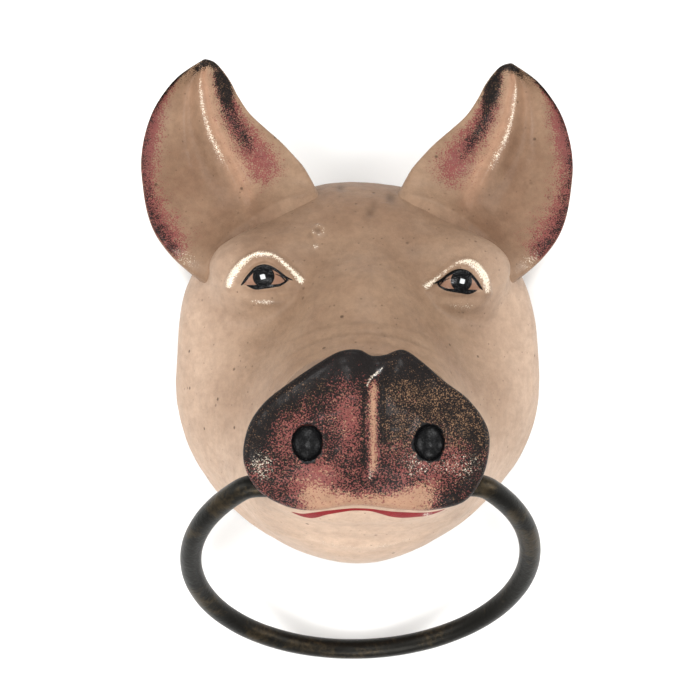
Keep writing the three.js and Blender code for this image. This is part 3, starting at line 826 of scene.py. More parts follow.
# Head, height of the head and shank of each kind of screw; its hole is larger all round.
SCREWS = {"base": (9.5, 2.8, 5), "ear": (7.5, 3, 4), "snout": (9, 3.5, 5)}
HOLE_GAP = 0.3
# The seat of an ear's screw, and the bosses that the plate's screws go into.
SEAT_RADIUS = 5.75
SEAT_HEIGHT = 3.3
BOSS_PROFILE = ((0, -5), (7.6, -5), (7.0, 24), (6.2, 25.8), (5, 26.3), (0, 26.3))
HOLLOW_TILT = 0.002
SLOT_GAP = 0.4


def screw_heading(node):
    if node in EAR_SCREWS:
        side = -1 if "left" in node else 1
        return np.array([side * EAR_HEADING[0], EAR_HEADING[1], 0.0])
    return UP


def screw_kind(node):
    return SCREWS[node.split("_")[0]]


def hole(name, node, start, low, high, **options):
    """A plain round cutter for a screw's shank, between two heights along the screw."""
    radius = screw_kind(node)[2] / 2 + HOLE_GAP
    profile = [(0, low), (radius, low), (radius, high), (0, high + 1)]
    return lathe(name, profile, start, screw_heading(node), **options)


def screw_line(node):
    """The start of a screw's head, the way it points, and its length."""
    heading = screw_heading(node)
    points = mesh_points(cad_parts[node].data)
    side = np.array(Vector(heading).orthogonal().normalized())
    other = np.cross(heading, side)
    spans = [(axis, points @ axis) for axis in (side, other)]
    middle = sum(axis * (along.max() + along.min()) / 2 for axis, along in spans)
    along = points @ heading
    return middle + heading * along.min(), heading, along.max() - along.min()


def shell_cutters(sizes):
    """What is cut from the blank after its hollow: slots, screw holes and screw seats."""
    cutters = []
    for node in BASE_SCREWS:
        start, _, long = screw_line(node)
        cutters.append(hole("hole", node, start, 5, long + 2))
    for node in SNOUT_SCREWS:
        cutters.append(hole("hole", node, screw_line(node)[0], 4.5, 60))
    for node in EAR_SCREWS:
        start, heading, _ = screw_line(node)
        radius = screw_kind(node)[2] / 2 + HOLE_GAP
        profile = [(0, -12), (SEAT_RADIUS, -12), (SEAT_RADIUS, SEAT_HEIGHT),
                   (radius, SEAT_HEIGHT), (radius, 26), (0, 26)]
        cutters.append(lathe("seat", profile, start, heading))
    bar = sizes.ring_bar / MM / 2
    ring_high = node_box("ring")[1]
    hinge_y, hinge_z = ring_high[1] - bar, ring_high[2] - bar
    angles = np.linspace(math.pi, 2 * math.pi, 25)
    radius = bar + SLOT_GAP
    round_end = np.column_stack([np.cos(angles), np.sin(angles)]) * radius
    outline = np.vstack([round_end, [(radius, 40), (-radius, 40)]]) + (hinge_y, hinge_z)
    for side in (-1, 1):
        inner, outer = sorted((side * (trunnion_end(sizes) - SLOT_GAP), side * 90))
        cutters.append(prism("slot", outline, inner, outer, [(0, 1, 0), (0, 0, 1), (1, 0, 0)]))
    return cutters


def hollow_solid(form, sizes):
    """The inside of the head, less the bosses for the plate's and the ears' screws."""
    wall, ceiling = sizes.wall / MM, (sizes.seat_height - sizes.muzzle_block) / MM
    polar = np.linspace(0, math.pi, 92)[1:-1]
    azimuth = np.linspace(0, 2 * math.pi, 144, endpoint=False)
    points = form.ball(polar, azimuth, -wall)
    points[:, 2] = np.minimum(points[:, 2], ceiling + HOLLOW_TILT * points[:, 0])
    hollow = solid("hollow", points, len(polar), len(azimuth))
    bosses = []
    for node in BASE_SCREWS:
        start, _, _ = screw_line(node)
        bosses.append(lathe("boss", BOSS_PROFILE, (start[0], start[1], 0), UP))
    for node in EAR_SCREWS:
        start, heading, _ = screw_line(node)
        profile = [(0, SEAT_HEIGHT), (SEAT_RADIUS, SEAT_HEIGHT), (SEAT_RADIUS, 16), (0, 16)]
        bosses.append(lathe("boss", profile, start, heading))
    return cut(hollow, bosses)


def row_density(polar):
    """Rows of the head's grid are closest where the eyes and the mouth are."""
    return 0.6 + 3.0 * ramp(polar, 0.55, 0.7) * ramp(1.5 - polar, 0, 0.2)


def turn_density(angle):
    """Columns of the grid are closest at the two eyes and the mouth."""
    features = (math.radians(46), math.radians(134), math.radians(270))
    return 0.8 + sum(1.3 * ridge((angle - f + math.pi) % (2 * math.pi) - math.pi, 0.42)
                     for f in features)


class PRESS_OT_head_shell(bpy.types.Operator):
    """Casts the hollow head, with its lids, lips, bosses and holes, and paints the face"""
    bl_idname = "press.head_shell"
    bl_label = "Head shell"

    def execute(self, context):
        sizes, colours = context.scene.press_sizes, context.scene.press_colours
        form = HeadForm(sizes)
        polar = spaced(340, math.pi, row_density)[1:-1]
        azimuth = spaced(860, 2 * math.pi, turn_density)[:-1]
        points = form.ball(polar, azimuth, relief=face_relief)
        shell = solid("head_shell_cast", points, len(polar), len(azimuth))
        outline = box_outline(150, 150)
        axes = np.eye(3)
        cut(shell, [prism("slab", outline, SHELL_LOW, SHELL_HIGH, axes)], "INTERSECT")
        cut(shell, [hollow_solid(form, sizes)])
        cut(shell, shell_cutters(sizes))
        store(shell.data, face_paint(mesh_points(shell.data)))
        material = painted("Painted face", skin_colour(colours))
        finish_piece(shell, "head", ["head_shell"], material)
        return {"FINISHED"}


# ---------------------------------------------------------------- press plate

class PRESS_OT_base_plate(bpy.types.Operator):
    """Casts the flat press plate, with eased edges and countersunk holes"""
    bl_idname = "press.base_plate"
    bl_label = "Press plate"

    def execute(self, context):
        sizes, colours = context.scene.press_sizes, context.scene.press_colours
        form = HeadForm(sizes)
        turns = 360
        angles = np.linspace(0, 2 * math.pi, turns, endpoint=False)
        headings = np.column_stack([np.cos(angles), np.sin(angles), np.zeros(turns)])
        # height and how far the edge is drawn in there, from the press face to the top
        sides = [(0, 1.3), (0.1, 0.8), (0.35, 0.35), (0.8, 0.08), (1.3, 0), (3, 0), (4.8, 0),
                 (5.5, 0.1), (5.85, 0.35), (PLATE_TOP, 0.9)]
        rings = []
        for height, inset in sides:
            edge = form.reach(np.array([0, 0, height]), headings) - headings * inset
            shares = [0.35, 0.7, 0.95, 1] if inset == 1.3 else [1]
            if height == PLATE_TOP:
                shares = [1, 0.6]
            rings += [edge * (share, share, 1) for share in shares]
        points = np.vstack([[[0, 0, 0]], *rings, [[0, 0, PLATE_TOP]]])
        plate = solid("base_plate_cast", points, len(rings), turns)
        holes = []
        for node in BASE_SCREWS:
            start, heading, _ = screw_line(node)
            profile = [(0, -1.3), (5.4, -1.3), (5.4, -0.3), (5.05, 0.15), (2.8, 2.95), (2.8, 9),
                       (0, 9)]
            holes.append(lathe("hole", profile, start, heading, turns=64))
        cut(plate, holes)
        finish_piece(plate, "head", ["base_plate"], iron_material(colours))
        return {"FINISHED"}


def iron_material(colours):
    """Ground and seasoned iron: long grinding marks under a brown-black film."""
    material, tree, shader = new_material("Seasoned iron", {"Metallic": 0.75})
    marks_place = put(tree, "ShaderNodeMapping",
                      {"Vector": object_place(tree), "Scale": (14.0, 1.0, 4.0)}).outputs[0]
    marks = cloud(tree, 160.0, 5.0, 0.7, place=marks_place)
    film = stepped(tree, cloud(tree, 60.0, 5.0, 0.6), 0.35, 0.68)
    age = group(tree, "Paint age", specks=1.0)
    shade = mixed(tree, film, colours.iron, (0.052, 0.036, 0.026))
    shade = mixed(tree, maths(tree, "MULTIPLY", age.outputs["Specks"], 0.7), shade, colours.dirt_and_shade)
    tree.links.new(shade, shader.inputs["Base Color"])
    tree.links.new(maths(tree, "ADD", maths(tree, "MULTIPLY", film, 0.22), 0.36),
                   shader.inputs["Roughness"])
    height = maths(tree, "ADD", maths(tree, "MULTIPLY", marks, 0.7), film)
    bumped(tree, shader, height, 0.3, 0.0003)
    return material


# ---------------------------------------------------------------- ears

# The ear's edges: across as shares of half the root, out as shares of the length. The
# first point of each is inside the head.
EAR_INNER = ((0.98, 0), (1.06, 0.02), (1.06, 0.13), (1.03, 0.26), (0.97, 0.385), (0.915, 0.52),
             (0.925, 0.64), (0.96, 0.74), (0.965, 0.82), (0.945, 0.88), (0.87, 0.925))
EAR_OUTER = ((-0.93, 0), (-1.05, 0), (-1.09, 0.13), (-1.08, 0.26), (-1.0, 0.385), (-0.85, 0.52),
             (-0.65, 0.66), (-0.38, 0.78), (-0.05, 0.875), (0.38, 0.935), (0.82, 0.935))
EAR = {"sink": 14, "lift": 7, "height": 33, "root_thickness": 11, "tip_thickness": 5,
       "root_bowl": 0.35, "edge_round": 0.7, "crest": 6.2, "flare": 6.5, "flare_reach": 5.5}


def ear_ridge(share):
    """How far across the ear its inner fold runs, at a share of its length."""
    return 0.36 * (1 - np.exp(-(share - 0.08) / 0.25))


def ear_edge(shares, sizes):
    root, long = sizes.ear_root / MM / 2, sizes.ear_length / MM
    points = [(across * root, out * long if i else -EAR["sink"], out * EAR["lift"])
              for i, (across, out) in enumerate(shares)]
    return np.array(points)


def ear_points(sizes, form, across, through, share):
    """Points of the left ear; through is from -1 on its back to 1 on its front."""
    outer = through_points(ear_edge(EAR_OUTER, sizes), share)
    inner = through_points(ear_edge(EAR_INNER, sizes), share)
    points = outer + (inner - outer) * ((across + 1) / 2)[..., None]
    arch = np.sin(math.pi * share)
    bowl = sizes.ear_bowl / MM * (EAR["root_bowl"] + (1 - EAR["root_bowl"]) * arch)
    thick = (EAR["root_thickness"] + (EAR["tip_thickness"] - EAR["root_thickness"]) * share) / 2
    open_part = 1 - ramp(share, 0.84, 0.99)
    bowl *= open_part
    thick *= 0.35 + 0.65 * np.sqrt(1 - ramp(share, 0.9, 1.0) ** 2)
    sheet = np.sign(through) * np.abs(through) ** EAR["edge_round"]
    front = np.clip(sheet, 0, 1)
    off = across - ear_ridge(share)
    width = np.where(off < 0, 0.24, 0.5)
    crest = EAR["crest"] * ridge(off, width) * (0.35 + 0.65 * ramp(share, 0.12, 0.4))
    crest *= ramp(1.02 - share, 0, 0.3)
    crest += 0.5 * ridge(off, 0.045) - 0.55 * ridge(off - 0.11, 0.04)
    rim = 0.9 * ridge(1 - np.abs(across), 0.07)
    points[..., 2] += -bowl * (1 - across**2) + thick * sheet
    points[..., 2] += front * (crest + rim) * open_part
    points[..., 2] -= 2.2 * ramp(across, 0.72, 1.0) * ramp(share, 0.1, 0.3) * open_part
    start = np.array([[0, 0, EAR["height"]]])
    heading = np.array([-EAR_HEADING[0], EAR_HEADING[1], 0])
    side = np.array([heading[1], -heading[0], 0])
    root = form.reach(start, heading[None])[0]
    placed = root + points @ np.array([side, heading, UP])
    return flared(placed, form, sheet)


def flared(points, form, sheet):
    """Thickens the ear towards the head, so that it grows out of it in a soft fillet."""
    flat = points.reshape(-1, 3)
    near = np.clip(form.distance(flat), 0, 40).reshape(points.shape[:-1])
    points[..., 2] += EAR["flare"] * np.exp(-near / EAR["flare_reach"]) * sheet
    return points


def ear_fields(across, share, front):
    """Coverage of the sprays on an ear, which its material turns into droplets."""
    band = 0.66 + (share - 0.4) * 0.55
    off = across - band
    streak = ridge(off, 0.13 + 0.04 * share) * ramp(share, 0.2, 0.45)
    blob = ridge(np.hypot(across - 0.86, (share - 0.7) * 2.0), 0.2)
    tip = ramp(share, 0.82, 0.93) * (0.5 + 0.5 * ramp(across, -0.6, 0.5))
    above_root = ramp(share, 0.08, 0.2)
    rim = ridge(1 + across, 0.2) * above_root
    tip_rim = ramp(share, 0.7, 0.9)
    low_rim = ridge(share - 0.3, 0.16)
    black = 0.66 * streak + 0.6 * blob + 0.9 * tip + rim * (0.54 + 0.34 * tip_rim)
    black += 0.12 * low_rim * ridge(1 + across, 0.36)
    inner_edge = 1 - ridge(1 - across, 0.06)
    pink = 0.72 * ridge(off - 0.04, 0.27) * ramp(share, 0.06, 0.26)
    pink *= ramp(1.05 - share, 0, 0.3) * inner_edge
    pink += 0.66 * ridge(1 + across, 0.3) * above_root + 0.3 * low_rim * ridge(1 + across, 0.45)
    pink += 0.4 * ridge(np.hypot(across + 0.75, (share - 0.7) * 2), 0.3)
    cream = 0.8 * ridge(across - ear_ridge(share) - 0.1, 0.13) * ramp(share, 0.05, 0.3)
    cream += 0.45 * ridge(np.hypot(across - 0.05, (share - 0.78) * 2.4), 0.34)
    # painted shade: the lower middle of the ear's hollow is made browner
    glaze = 1.6 * ridge(across + 0.2, 0.62) * ramp(0.75 - share, 0, 0.3)
    # painted highlight along the fold's crest and a glint at the ear's lower outer corner
    highlight = ridge(across - ear_ridge(share), 0.045)
    highlight *= ramp(share, 0.3, 0.44) * ramp(0.86 - share, 0, 0.12)
    highlight = np.maximum(highlight, 0.6 * ridge(np.hypot(across + 0.9, (share - 0.12) * 2), 0.09))
    front = np.clip(front * 4, 0, 1)
    fields = {"black_spray": black, "pink_spray": pink, "cream": cream, "glaze": glaze,
              "flecks": 0.16 * np.clip(black, 0, 1), "bloom_and_highlight": 0.7 * highlight}
    return {name: np.clip(values, 0, 1) * front for name, values in fields.items()}


def sprayed_colour(colours, ground, grain_scale):
    """Ground paint, cream where it was masked, and droplets of pink and then of black."""
    def work(tree, age):
        # random brown blotches, and on the ears painted shade in the hollow
        blotches = maths(tree, "MULTIPLY", age.outputs["Blotches"], 0.4)
        glaze = maths(tree, "ADD", blotches, maths(tree, "MULTIPLY", field(tree, "glaze"), 0.45))
        shade = mixed(tree, glaze, ground, colours.skin_brown_and_shade)
        shade = mixed(tree, field(tree, "cream"), shade, colours.cream)
        for name, paint, scale in (("pink_spray", colours.pink, grain_scale),
                                   ("black_spray", colours.black, grain_scale * 1.25)):
            spray = group(tree, "Spray", coverage=field(tree, name), scale=scale, softness=0.16)
            shade = mixed(tree, spray.outputs["Mask"], shade, paint)
        flecks = group(tree, "Spray", coverage=field(tree, "flecks"), scale=grain_scale * 1.4,
                       softness=0.2)
        pale = maths(tree, "MULTIPLY", flecks.outputs["Mask"], 0.8)
        shade = mixed(tree, pale, shade, colours.fleck)
        specks = maths(tree, "MULTIPLY", age.outputs["Specks"], 0.7)
        return with_pale_highlight_grains(tree, mixed(tree, specks, shade, colours.dirt_and_shade), colours)
    return work


class PRESS_OT_ears(bpy.types.Operator):
    """Casts the two ears, cuts them to sit on the head, and sprays their edges"""
    bl_idname = "press.ears"
    bl_label = "Ears"

    def execute(self, context):
        sizes, colours = context.scene.press_sizes, context.scene.press_colours
        form = HeadForm(sizes)
        rows, turns = 170, 240
        shares = np.linspace(0, 1, rows)
        angles = np.linspace(0, 2 * math.pi, turns, endpoint=False)
        share, angle = np.meshgrid(shares, angles, indexing="ij")
        across, through = np.cos(angle), np.sin(angle)
        grid = ear_points(sizes, form, across, through, share).reshape(-1, 3)
        ends = [grid[:turns].mean(axis=0), grid[-turns:].mean(axis=0)]
        left = np.vstack([ends[0], grid, ends[1]])
        left += (0.3 * grain(left, 15, 7.0) + 0.1 * grain(left, 4, 2.0))[:, None] * UP
        fields = ear_fields(across.ravel(), share.ravel(), through.ravel())
        material = painted("Painted ear", sprayed_colour(colours, colours.skin, 1900.0))
        polar = np.linspace(0, math.pi, 202)[1:-1]
        azimuth = np.linspace(0, 2 * math.pi, 360, endpoint=False)
        skin = form.ball(polar, azimuth, offset=-0.5)
        for side, mirror in (("left", 1), ("right", -1)):
            ear = solid(f"ear_{side}_cast", left * (mirror, 1, 1), rows, turns)
            store(ear.data, {name: with_poles(values) for name, values in fields.items()})
            cut(ear, [solid("skin", skin, len(polar), len(azimuth))])
            finish_piece(ear, "head", [f"ear_{side}"], material, sharp=50)
        return {"FINISHED"}


# ---------------------------------------------------------------- snout

# The snout's outline, clockwise from the dip in its top, in millimetres from its middle on a
# disc of RIM_SIZE. Its lower edge is the upper lip and follows the mouth.
RIM = ((1.5, 23.5), (6, 23.8), (12, 25.5), (18.5, 21.5), (26, 15), (34.5, 8.5), (40.5, 0),
       (41.5, -8), (39, -18), (33, -26), (22, -29), (11, -28.8), (-4, -27.3), (-19, -29),
       (-29, -27), (-37.5, -21.5), (-42, -12), (-40.5, -1), (-35, 7.5), (-25.5, 15), (-15, 22),
       (-9, 25), (-3, 25.5))
RIM_SIZE = (84, 52)
NOSTRIL_DROP = 6
NOSTRIL_DEPTH = 3.6
# Patches of the black spray: place, height over width, size, and how much more of it.
SNOUT_PATCHES = ((-4.0, 22.5, 0.8, 7.0, 0.5), (11.0, 22.5, 0.8, 6.5, 0.5),
                 (-14.0, 14.0, 1.0, 8.0, 0.1), (-6.8, 3.5, 2.4, 4.4, -0.3),
                 (-27.0, -2.5, 1.3, 5.0, -0.16),
                 (-17.5, -17.5, 0.7, 7.0, -0.4), (-10.5, -8.0, 1.2, 5.0, 0.06),
                 (17.0, -15.0, 0.9, 6.0, -0.1), (29.0, -15.0, 0.8, 9.0, -0.12),
                 (36.0, 2.0, 1.5, 5.0, 0.2), (19.2, -20.7, 1.0, 0.9, 0.9))
# Painted highlights on the spray, as pale grains: place, width over height, size, strength.
SNOUT_HIGHLIGHTS = ((-36.0, -13.6, 0.9, 4.5, 0.62), (17.0, -13.0, 1.0, 4.5, 0.5),
               (32.0, -14.0, 1.6, 4.5, 0.42), (0.6, -17.0, 0.5, 1.6, 0.7),
               (17.0, -3.0, 0.8, 2.0, 0.6))
# A painted highlight at the top of the crest, drawn as a brush mark: points with the brush's half
# width.
SNOUT_COMMA_HIGHLIGHT = ((-0.3, 13.0, 0.1), (0.9, 15.6, 0.45), (3.4, 17.6, 0.4), (5.2, 19.6, 0.1))


def snout_outline(sizes, turns):
    """The snout's outline about its middle, as points evenly spaced round it."""
    half = np.array([sizes.snout_width, sizes.snout_height]) / MM / RIM_SIZE
    knots = np.array(RIM)
    closed = np.vstack([knots[-1], knots, knots[:2]])
    spans = len(closed) - 1
    fine = through_points(closed, np.linspace(1 / spans, 1 - 1 / spans, 3000)) * half
    steps = np.concatenate([[0], np.cumsum(np.hypot(*np.diff(fine, axis=0).T))])
    even = np.linspace(0, steps[-1], turns, endpoint=False)
    return np.column_stack([np.interp(even, steps, fine[:, axis]) for axis in (0, 1)])


def nostril_place(x, y, sizes):
    """A nostril's radius, and how far each point is from the middle of the nearer one."""
    across = (np.abs(x) - sizes.nostril_spacing / MM / 2) * 1.06
    return sizes.nostril / MM / 2, np.hypot(across, (y + NOSTRIL_DROP) * 0.9)


def crest_bend(y):
    """How far to the side the crest between the nostrils bends at its top."""
    return 0.006 * np.clip(y - 6, 0, 20) ** 2


def snout_relief(x, y, inward, sizes):
    """Height of the snout's face over a flat disc; inward is the distance from its rim."""
    spacing = sizes.nostril_spacing / MM / 2
    lobes = ridge((np.abs(x) - spacing) / 1.5, 14) * ridge(y + 4, 26)
    dome = -2.6 + 2.6 * ramp(inward, 0, 15) + 0.7 * lobes
    philtrum = -0.8 * ridge(x - 1.2, 4.6) * ramp(20 - y, 0, 5) * ramp(y + 26, 0, 7)
    bend = crest_bend(y)
    crest = 1.2 * ridge(x - 1.6 - bend, 1.3) * ramp(16.5 - y, 0, 4) * ramp(y + 17, 0, 9)
    crest -= 0.4 * ridge(x - 4.2 - bend, 0.8) * ramp(15 - y, 0, 4) * ramp(y + 14, 0, 8)
    radius, pit = nostril_place(x, y, sizes)
    holes = -NOSTRIL_DEPTH * np.sqrt(np.clip(1 - (pit / (radius + 0.3)) ** 2, 0, 1))
    holes += 0.25 * ridge(pit - radius - 1.2, 1.4)
    knobs = sum(0.9 * ridge(np.hypot(x - place, y - 21.5), 5.0) for place in (-7.0, 11.5))
    dip = -0.7 * ridge(np.hypot((x - 2.8) / 0.8, y - 24), 4.0)
    lip = -0.9 * ramp(-y, 21, 30) + 0.4 * ridge(y + 20 + 0.006 * x**2, 2.6)
    pinhole = -0.8 * ridge(np.hypot(x - 19.5, y + 19.8), 0.7)
    return dome + philtrum + crest + holes + knobs + dip + lip + pinhole


def snout_fields(x, y, inward, front, sizes):
    """Coverage of the sprays on the snout, where its cream and its holes are, its painted
    highlights, and an empty field for painted shade.
    """
    top = ramp(y, -8, 16)
    black = 0.61 + 0.07 * top + 0.5 * ridge(inward, 4.5) * ramp(-x, 8, 26) * ramp(y, -16, -6)
    black += 0.22 * ridge(inward, 5.0) * ramp(x, 8, 20) + 0.2 * ramp(x, 3, 7) * ramp(y, -8, 0)
    for px, py, tall, size, more in SNOUT_PATCHES:
        black += more * ridge(np.hypot(x - px, (y - py) / tall), size)
    low = y + 21.0 - 0.004 * x**2 + 2.0 * np.cos(x / 9.0)
    cream = 0.85 * ramp(-low, -2.2, 4.2) * ramp(28 - np.abs(x), 0, 12)
    stripe = ridge(x - 1.6 - crest_bend(y), 1.4)
    stripe *= ramp(16 - y, 0, 3) * ramp(y + 18, 0, 4)
    cream = np.maximum(cream, 0.7 * stripe)
    black += 0.2 * ridge(x + 1.6, 1.0) * ramp(16 - y, 0, 3) * ramp(y + 16, 0, 4)
    black += 0.25 * ridge(x - 4.8, 1.2) * ramp(18 - y, 0, 3) * ramp(y + 8, 0, 6)
    pink = 0.8 - 0.35 * ramp(x, 2, 8) * ramp(y, -12, 0)
    flecks = 0.1 + 0.18 * ramp(x, 3, 8) * ramp(y, -14, -4) + 0.04 * top
    flecks *= 1 - 0.7 * ramp(y, 11, 19)
    # painted highlights: pale grains on the spray and the comma at the crest's top
    bloom_and_highlight = sum(0.75 * more * ridge(np.hypot((x - px) / wide, y - py), size)
                for px, py, wide, size, more in SNOUT_HIGHLIGHTS)
    comma_highlight = brush_line(x, y, SNOUT_COMMA_HIGHLIGHT)
    bloom_and_highlight = np.maximum(bloom_and_highlight, 0.75 * ramp(comma_highlight, -0.5, 0.5))
    keep = 1 - np.clip(1.05 * cream, 0, 1)
    radius, pit = nostril_place(x, y, sizes)
    return {"black_spray": np.clip(black * keep, 0, 1) * front,
            "pink_spray": np.clip(pink * (1 - 0.85 * cream), 0, 1) * front, "cream": cream,
            "nostril": radius + 0.7 - pit, "glaze": np.zeros_like(x), "flecks": flecks,
            "bloom_and_highlight": bloom_and_highlight, "mouth": brush_line(x, y - 22, MOUTH),
            "gloss": 0.5 * ramp(radius + 0.9 - pit, -0.6, 0.6)}


def snout_colour(colours):
    ground = sprayed_colour(colours, colours.cream, 1450.0)

    def work(tree, age):
        shade = ground(tree, age)
        shade = mixed(tree, brushed(tree, "mouth"), shade, colours.lip_red)
        uneven = maths(tree, "MULTIPLY", maths(tree, "SUBTRACT", cloud(tree, 260.0), 0.5), 4.5)
        ragged = maths(tree, "ADD", field(tree, "nostril"), uneven)
        return mixed(tree, stepped(tree, ragged, -0.25, 0.25), shade, colours.line)
    return work


class PRESS_OT_snout(bpy.types.Operator):
    """Casts the snout disc, with its nostrils and ridge, and sprays it"""
    bl_idname = "press.snout"
    bl_label = "Snout"

    def execute(self, context):
        sizes, colours = context.scene.press_sizes, context.scene.press_colours
        turns = 420
        outline = snout_outline(sizes, turns)
        low, high = SNOUT_LOW[2], SNOUT_HIGH[2]
        middle = np.array([0, -2.0])
        half = np.linalg.norm(outline - middle, axis=1)
        rings, fields = [], []
        soft = ramp(-outline[:, 1], 16, 25)
        for share in np.linspace(0.01, 1, 104) ** 0.85:
            around = middle + (outline - middle) * (share * (1 - 2.6 / half))[:, None]
            inward = half * (1 - share) * 0.8
            height = high - 0.6 + snout_relief(*around.T, inward, sizes)
            rings.append(np.column_stack([around, height]))
            fields.append(snout_fields(*around.T, inward, 1.0, sizes))
        rim_height = rings[-1][:, 2]
        for turn in np.linspace(0, math.pi / 2, 9)[1:]:
            out = (1 - 2.6 / half * (1 - math.sin(turn)))[:, None]
            around = middle + (outline - middle) * out
            drop = (2.2 + 1.2 * soft) * (1 - math.cos(turn))
            rings.append(np.column_stack([around, rim_height - drop]))
            fields.append(snout_fields(*around.T, 0 * half, 1.0, sizes))
        side_top = rings[-1][:, 2]
        for share, inset in ((0.3, 0.1), (0.6, 0.5), (0.85, 1.3), (1, 2.6), (1, 6), (1, 16)):
            around = middle + (outline - middle) * np.clip(1 - inset / half, 0.05, 1)[:, None]
            rings.append(np.column_stack([around, side_top + (low - side_top) * share]))
            fields.append(snout_fields(*around.T, 0 * half, 1.0 if inset < 2 else 0.2, sizes))
        shift = np.array([0, -sizes.snout_offset / MM, 0])
        points = np.vstack(rings)
        poles = [[*middle, points[:turns, 2].mean()], [*middle, low]]
        points = np.vstack([poles[:1], points, poles[1:]]) + shift
        dents = 0.22 * grain(points, 6, 5.0) + 0.07 * grain(points, 2, 9.0)
        points[:, 2] += np.where(points[:, 2] > low + 1, dents, 0)
        snout = solid("snout_cast", points, len(rings), turns)
        joined = {name: [row[name] * np.ones(turns) for row in fields] for name in fields[0]}
        store(snout.data, {name: with_poles(np.concatenate(rows)) for name, rows in joined.items()})
        holes = []
        for node in SNOUT_SCREWS:
            start, heading, long = screw_line(node)
            radius = screw_kind(node)[2] / 2 + HOLE_GAP
            profile = [(0, 8), (radius, 8), (radius, long + 0.6), (0, long + 1)]
            holes.append(lathe("hole", profile, start, heading))
        cut(snout, holes)
        material = painted("Painted snout", snout_colour(colours), crackle=0.9)
        finish_piece(snout, "head", ["snout"], material, sharp=50)
        return {"FINISHED"}


# ---------------------------------------------------------------- ring

# Room between the muzzle and each bend of the ring, and the straight length of each end.
RING = {"side_room": 6.5, "straight": 15}


def ring_shape(sizes):
    """The bar's and the ring's radii, the bends', the centre's drop and where bends begin."""
    bar, radius, bend = (v / MM for v in (sizes.ring_bar, sizes.ring_diameter / 2, sizes.ring_bend))
    half_span = sizes.snout_width / MM / 2 - NECK["inset"] + RING["side_room"]
    drop = math.sqrt(radius**2 - half_span**2)
    middle = math.sqrt((radius - bend) ** 2 - (drop - bend) ** 2)
    return bar / 2, radius, bend, drop, middle


def trunnion_end(sizes):
    """How far from the middle each end of the ring is."""
    return ring_shape(sizes)[4] - RING["straight"]


def ring_path(sizes):
    """The ring's centre line: across, and away from the hinge in the ring's own plane."""
    _, radius, bend, drop, middle = ring_shape(sizes)
    join = math.atan2(bend - drop, middle)

    def arc(x, y, r, a, b, steps):
        angles = np.linspace(a, b, steps)
        return np.column_stack([x + r * np.cos(angles), y + r * np.sin(angles)])
    across = np.linspace(middle - RING["straight"], middle, 24)[:-1]
    straight = np.column_stack([across, np.zeros(23)])
    right = arc(middle, bend, bend, -math.pi / 2, join, 26)
    big = arc(0, drop, radius, join, math.pi - join, 320)[1:-1]
    left = right[::-1] * (-1, 1)
    return np.vstack([straight, right, big, left, straight[::-1] * (-1, 1)])


class PRESS_OT_ring(bpy.types.Operator):
    """Bends the ring from round bar and gives it its dark, worn patina"""
    bl_idname = "press.ring"
    bl_label = "Ring"

    def execute(self, context):
        sizes, colours = context.scene.press_sizes, context.scene.press_colours
        rod, radius, _, drop, _ = ring_shape(sizes)
        low, high = node_box("ring")
        hinge = np.array([0, high[1] - rod, high[2] - rod])
        tilt = math.asin((hinge[2] - rod - low[2]) / (drop + radius))
        outward = np.array([0, -math.cos(tilt), -math.sin(tilt)])
        flat = ring_path(sizes)
        path = hinge + flat[:, :1] * np.array([1, 0, 0]) + flat[:, 1:] * outward
        ahead = np.gradient(path, axis=0)
        ahead /= np.linalg.norm(ahead, axis=1, keepdims=True)
        across = np.cross(outward, [1, 0, 0])
        side = np.cross(ahead, across)
        turns = 40
        angles = np.linspace(0, 2 * math.pi, turns, endpoint=False)[None, :, None]
        # the ends are domed, and drawn in over the last rows
        end = np.array([0.55, 0.8, 0.93, 0.985])
        width = np.concatenate([end, np.ones(len(path) - 8), end[::-1]])[:, None, None] * rod
        spin = side[:, None] * np.cos(angles) + across * np.sin(angles)
        rings = path[:, None] + spin * width
        hammered = 1 + 0.012 * grain(rings.reshape(-1, 3), 9).reshape(len(path), turns, 1)
        hammered = np.minimum(hammered, 1.01)
        rings = path[:, None] + spin * width * hammered
        points = np.vstack([path[:1], rings.reshape(-1, 3), path[-1:]])
        ring = solid("ring_bar", points, len(path), turns)
        finish_piece(ring, "ring", ["ring"], ring_material(colours))
        return {"FINISHED"}


def ring_material(colours):
    """Dark patina that has been rubbed to the metal in streaks and on the high spots."""
    material, tree, shader = new_material("Ring patina", {"Metallic": 0.85})
    broad = cloud(tree, 55.0, 5.0, 0.62, 0.4)
    fine = cloud(tree, 620.0, 4.0, 0.7)
    worn = maths(tree, "ADD", broad, maths(tree, "MULTIPLY", fine, 0.35))
    rubbed = stepped(tree, worn, 0.66, 0.86)
    age = group(tree, "Paint age", specks=1.0)
    rubbed = maths(tree, "MULTIPLY", rubbed, 0.24)
    shade = mixed(tree, rubbed, colours.ring_dark, colours.ring_worn)
    specks = maths(tree, "MULTIPLY", age.outputs["Specks"], 0.8)
    shade = mixed(tree, specks, shade, (0.01, 0.009, 0.008))
    tree.links.new(shade, shader.inputs["Base Color"])
    rough = maths(tree, "MULTIPLY_ADD", fine, 0.2, 0.3)
    tree.links.new(rough, shader.inputs["Roughness"])
    height = maths(tree, "ADD", fine, maths(tree, "MULTIPLY", broad, 2.0))
    bumped(tree, shader, height, 0.4, 0.0004)
    return material


# ---------------------------------------------------------------- screws and washers

THREAD = {"pitch": 1.0, "depth": 0.35, "steps": 7}


def threaded(neck):
    """A warp that cuts a thread into a shank, from neck on."""
    def warp(radii, heights, angles):
        phase = (heights / THREAD["pitch"] - angles / (2 * math.pi)) % 1
        cut_depth = THREAD["depth"] * (1 - np.abs(2 * phase - 1)) * ramp(heights - neck, 0, 1)
        return np.where(heights > neck, np.maximum(radii - cut_depth, 0.2), radii)
    return warp


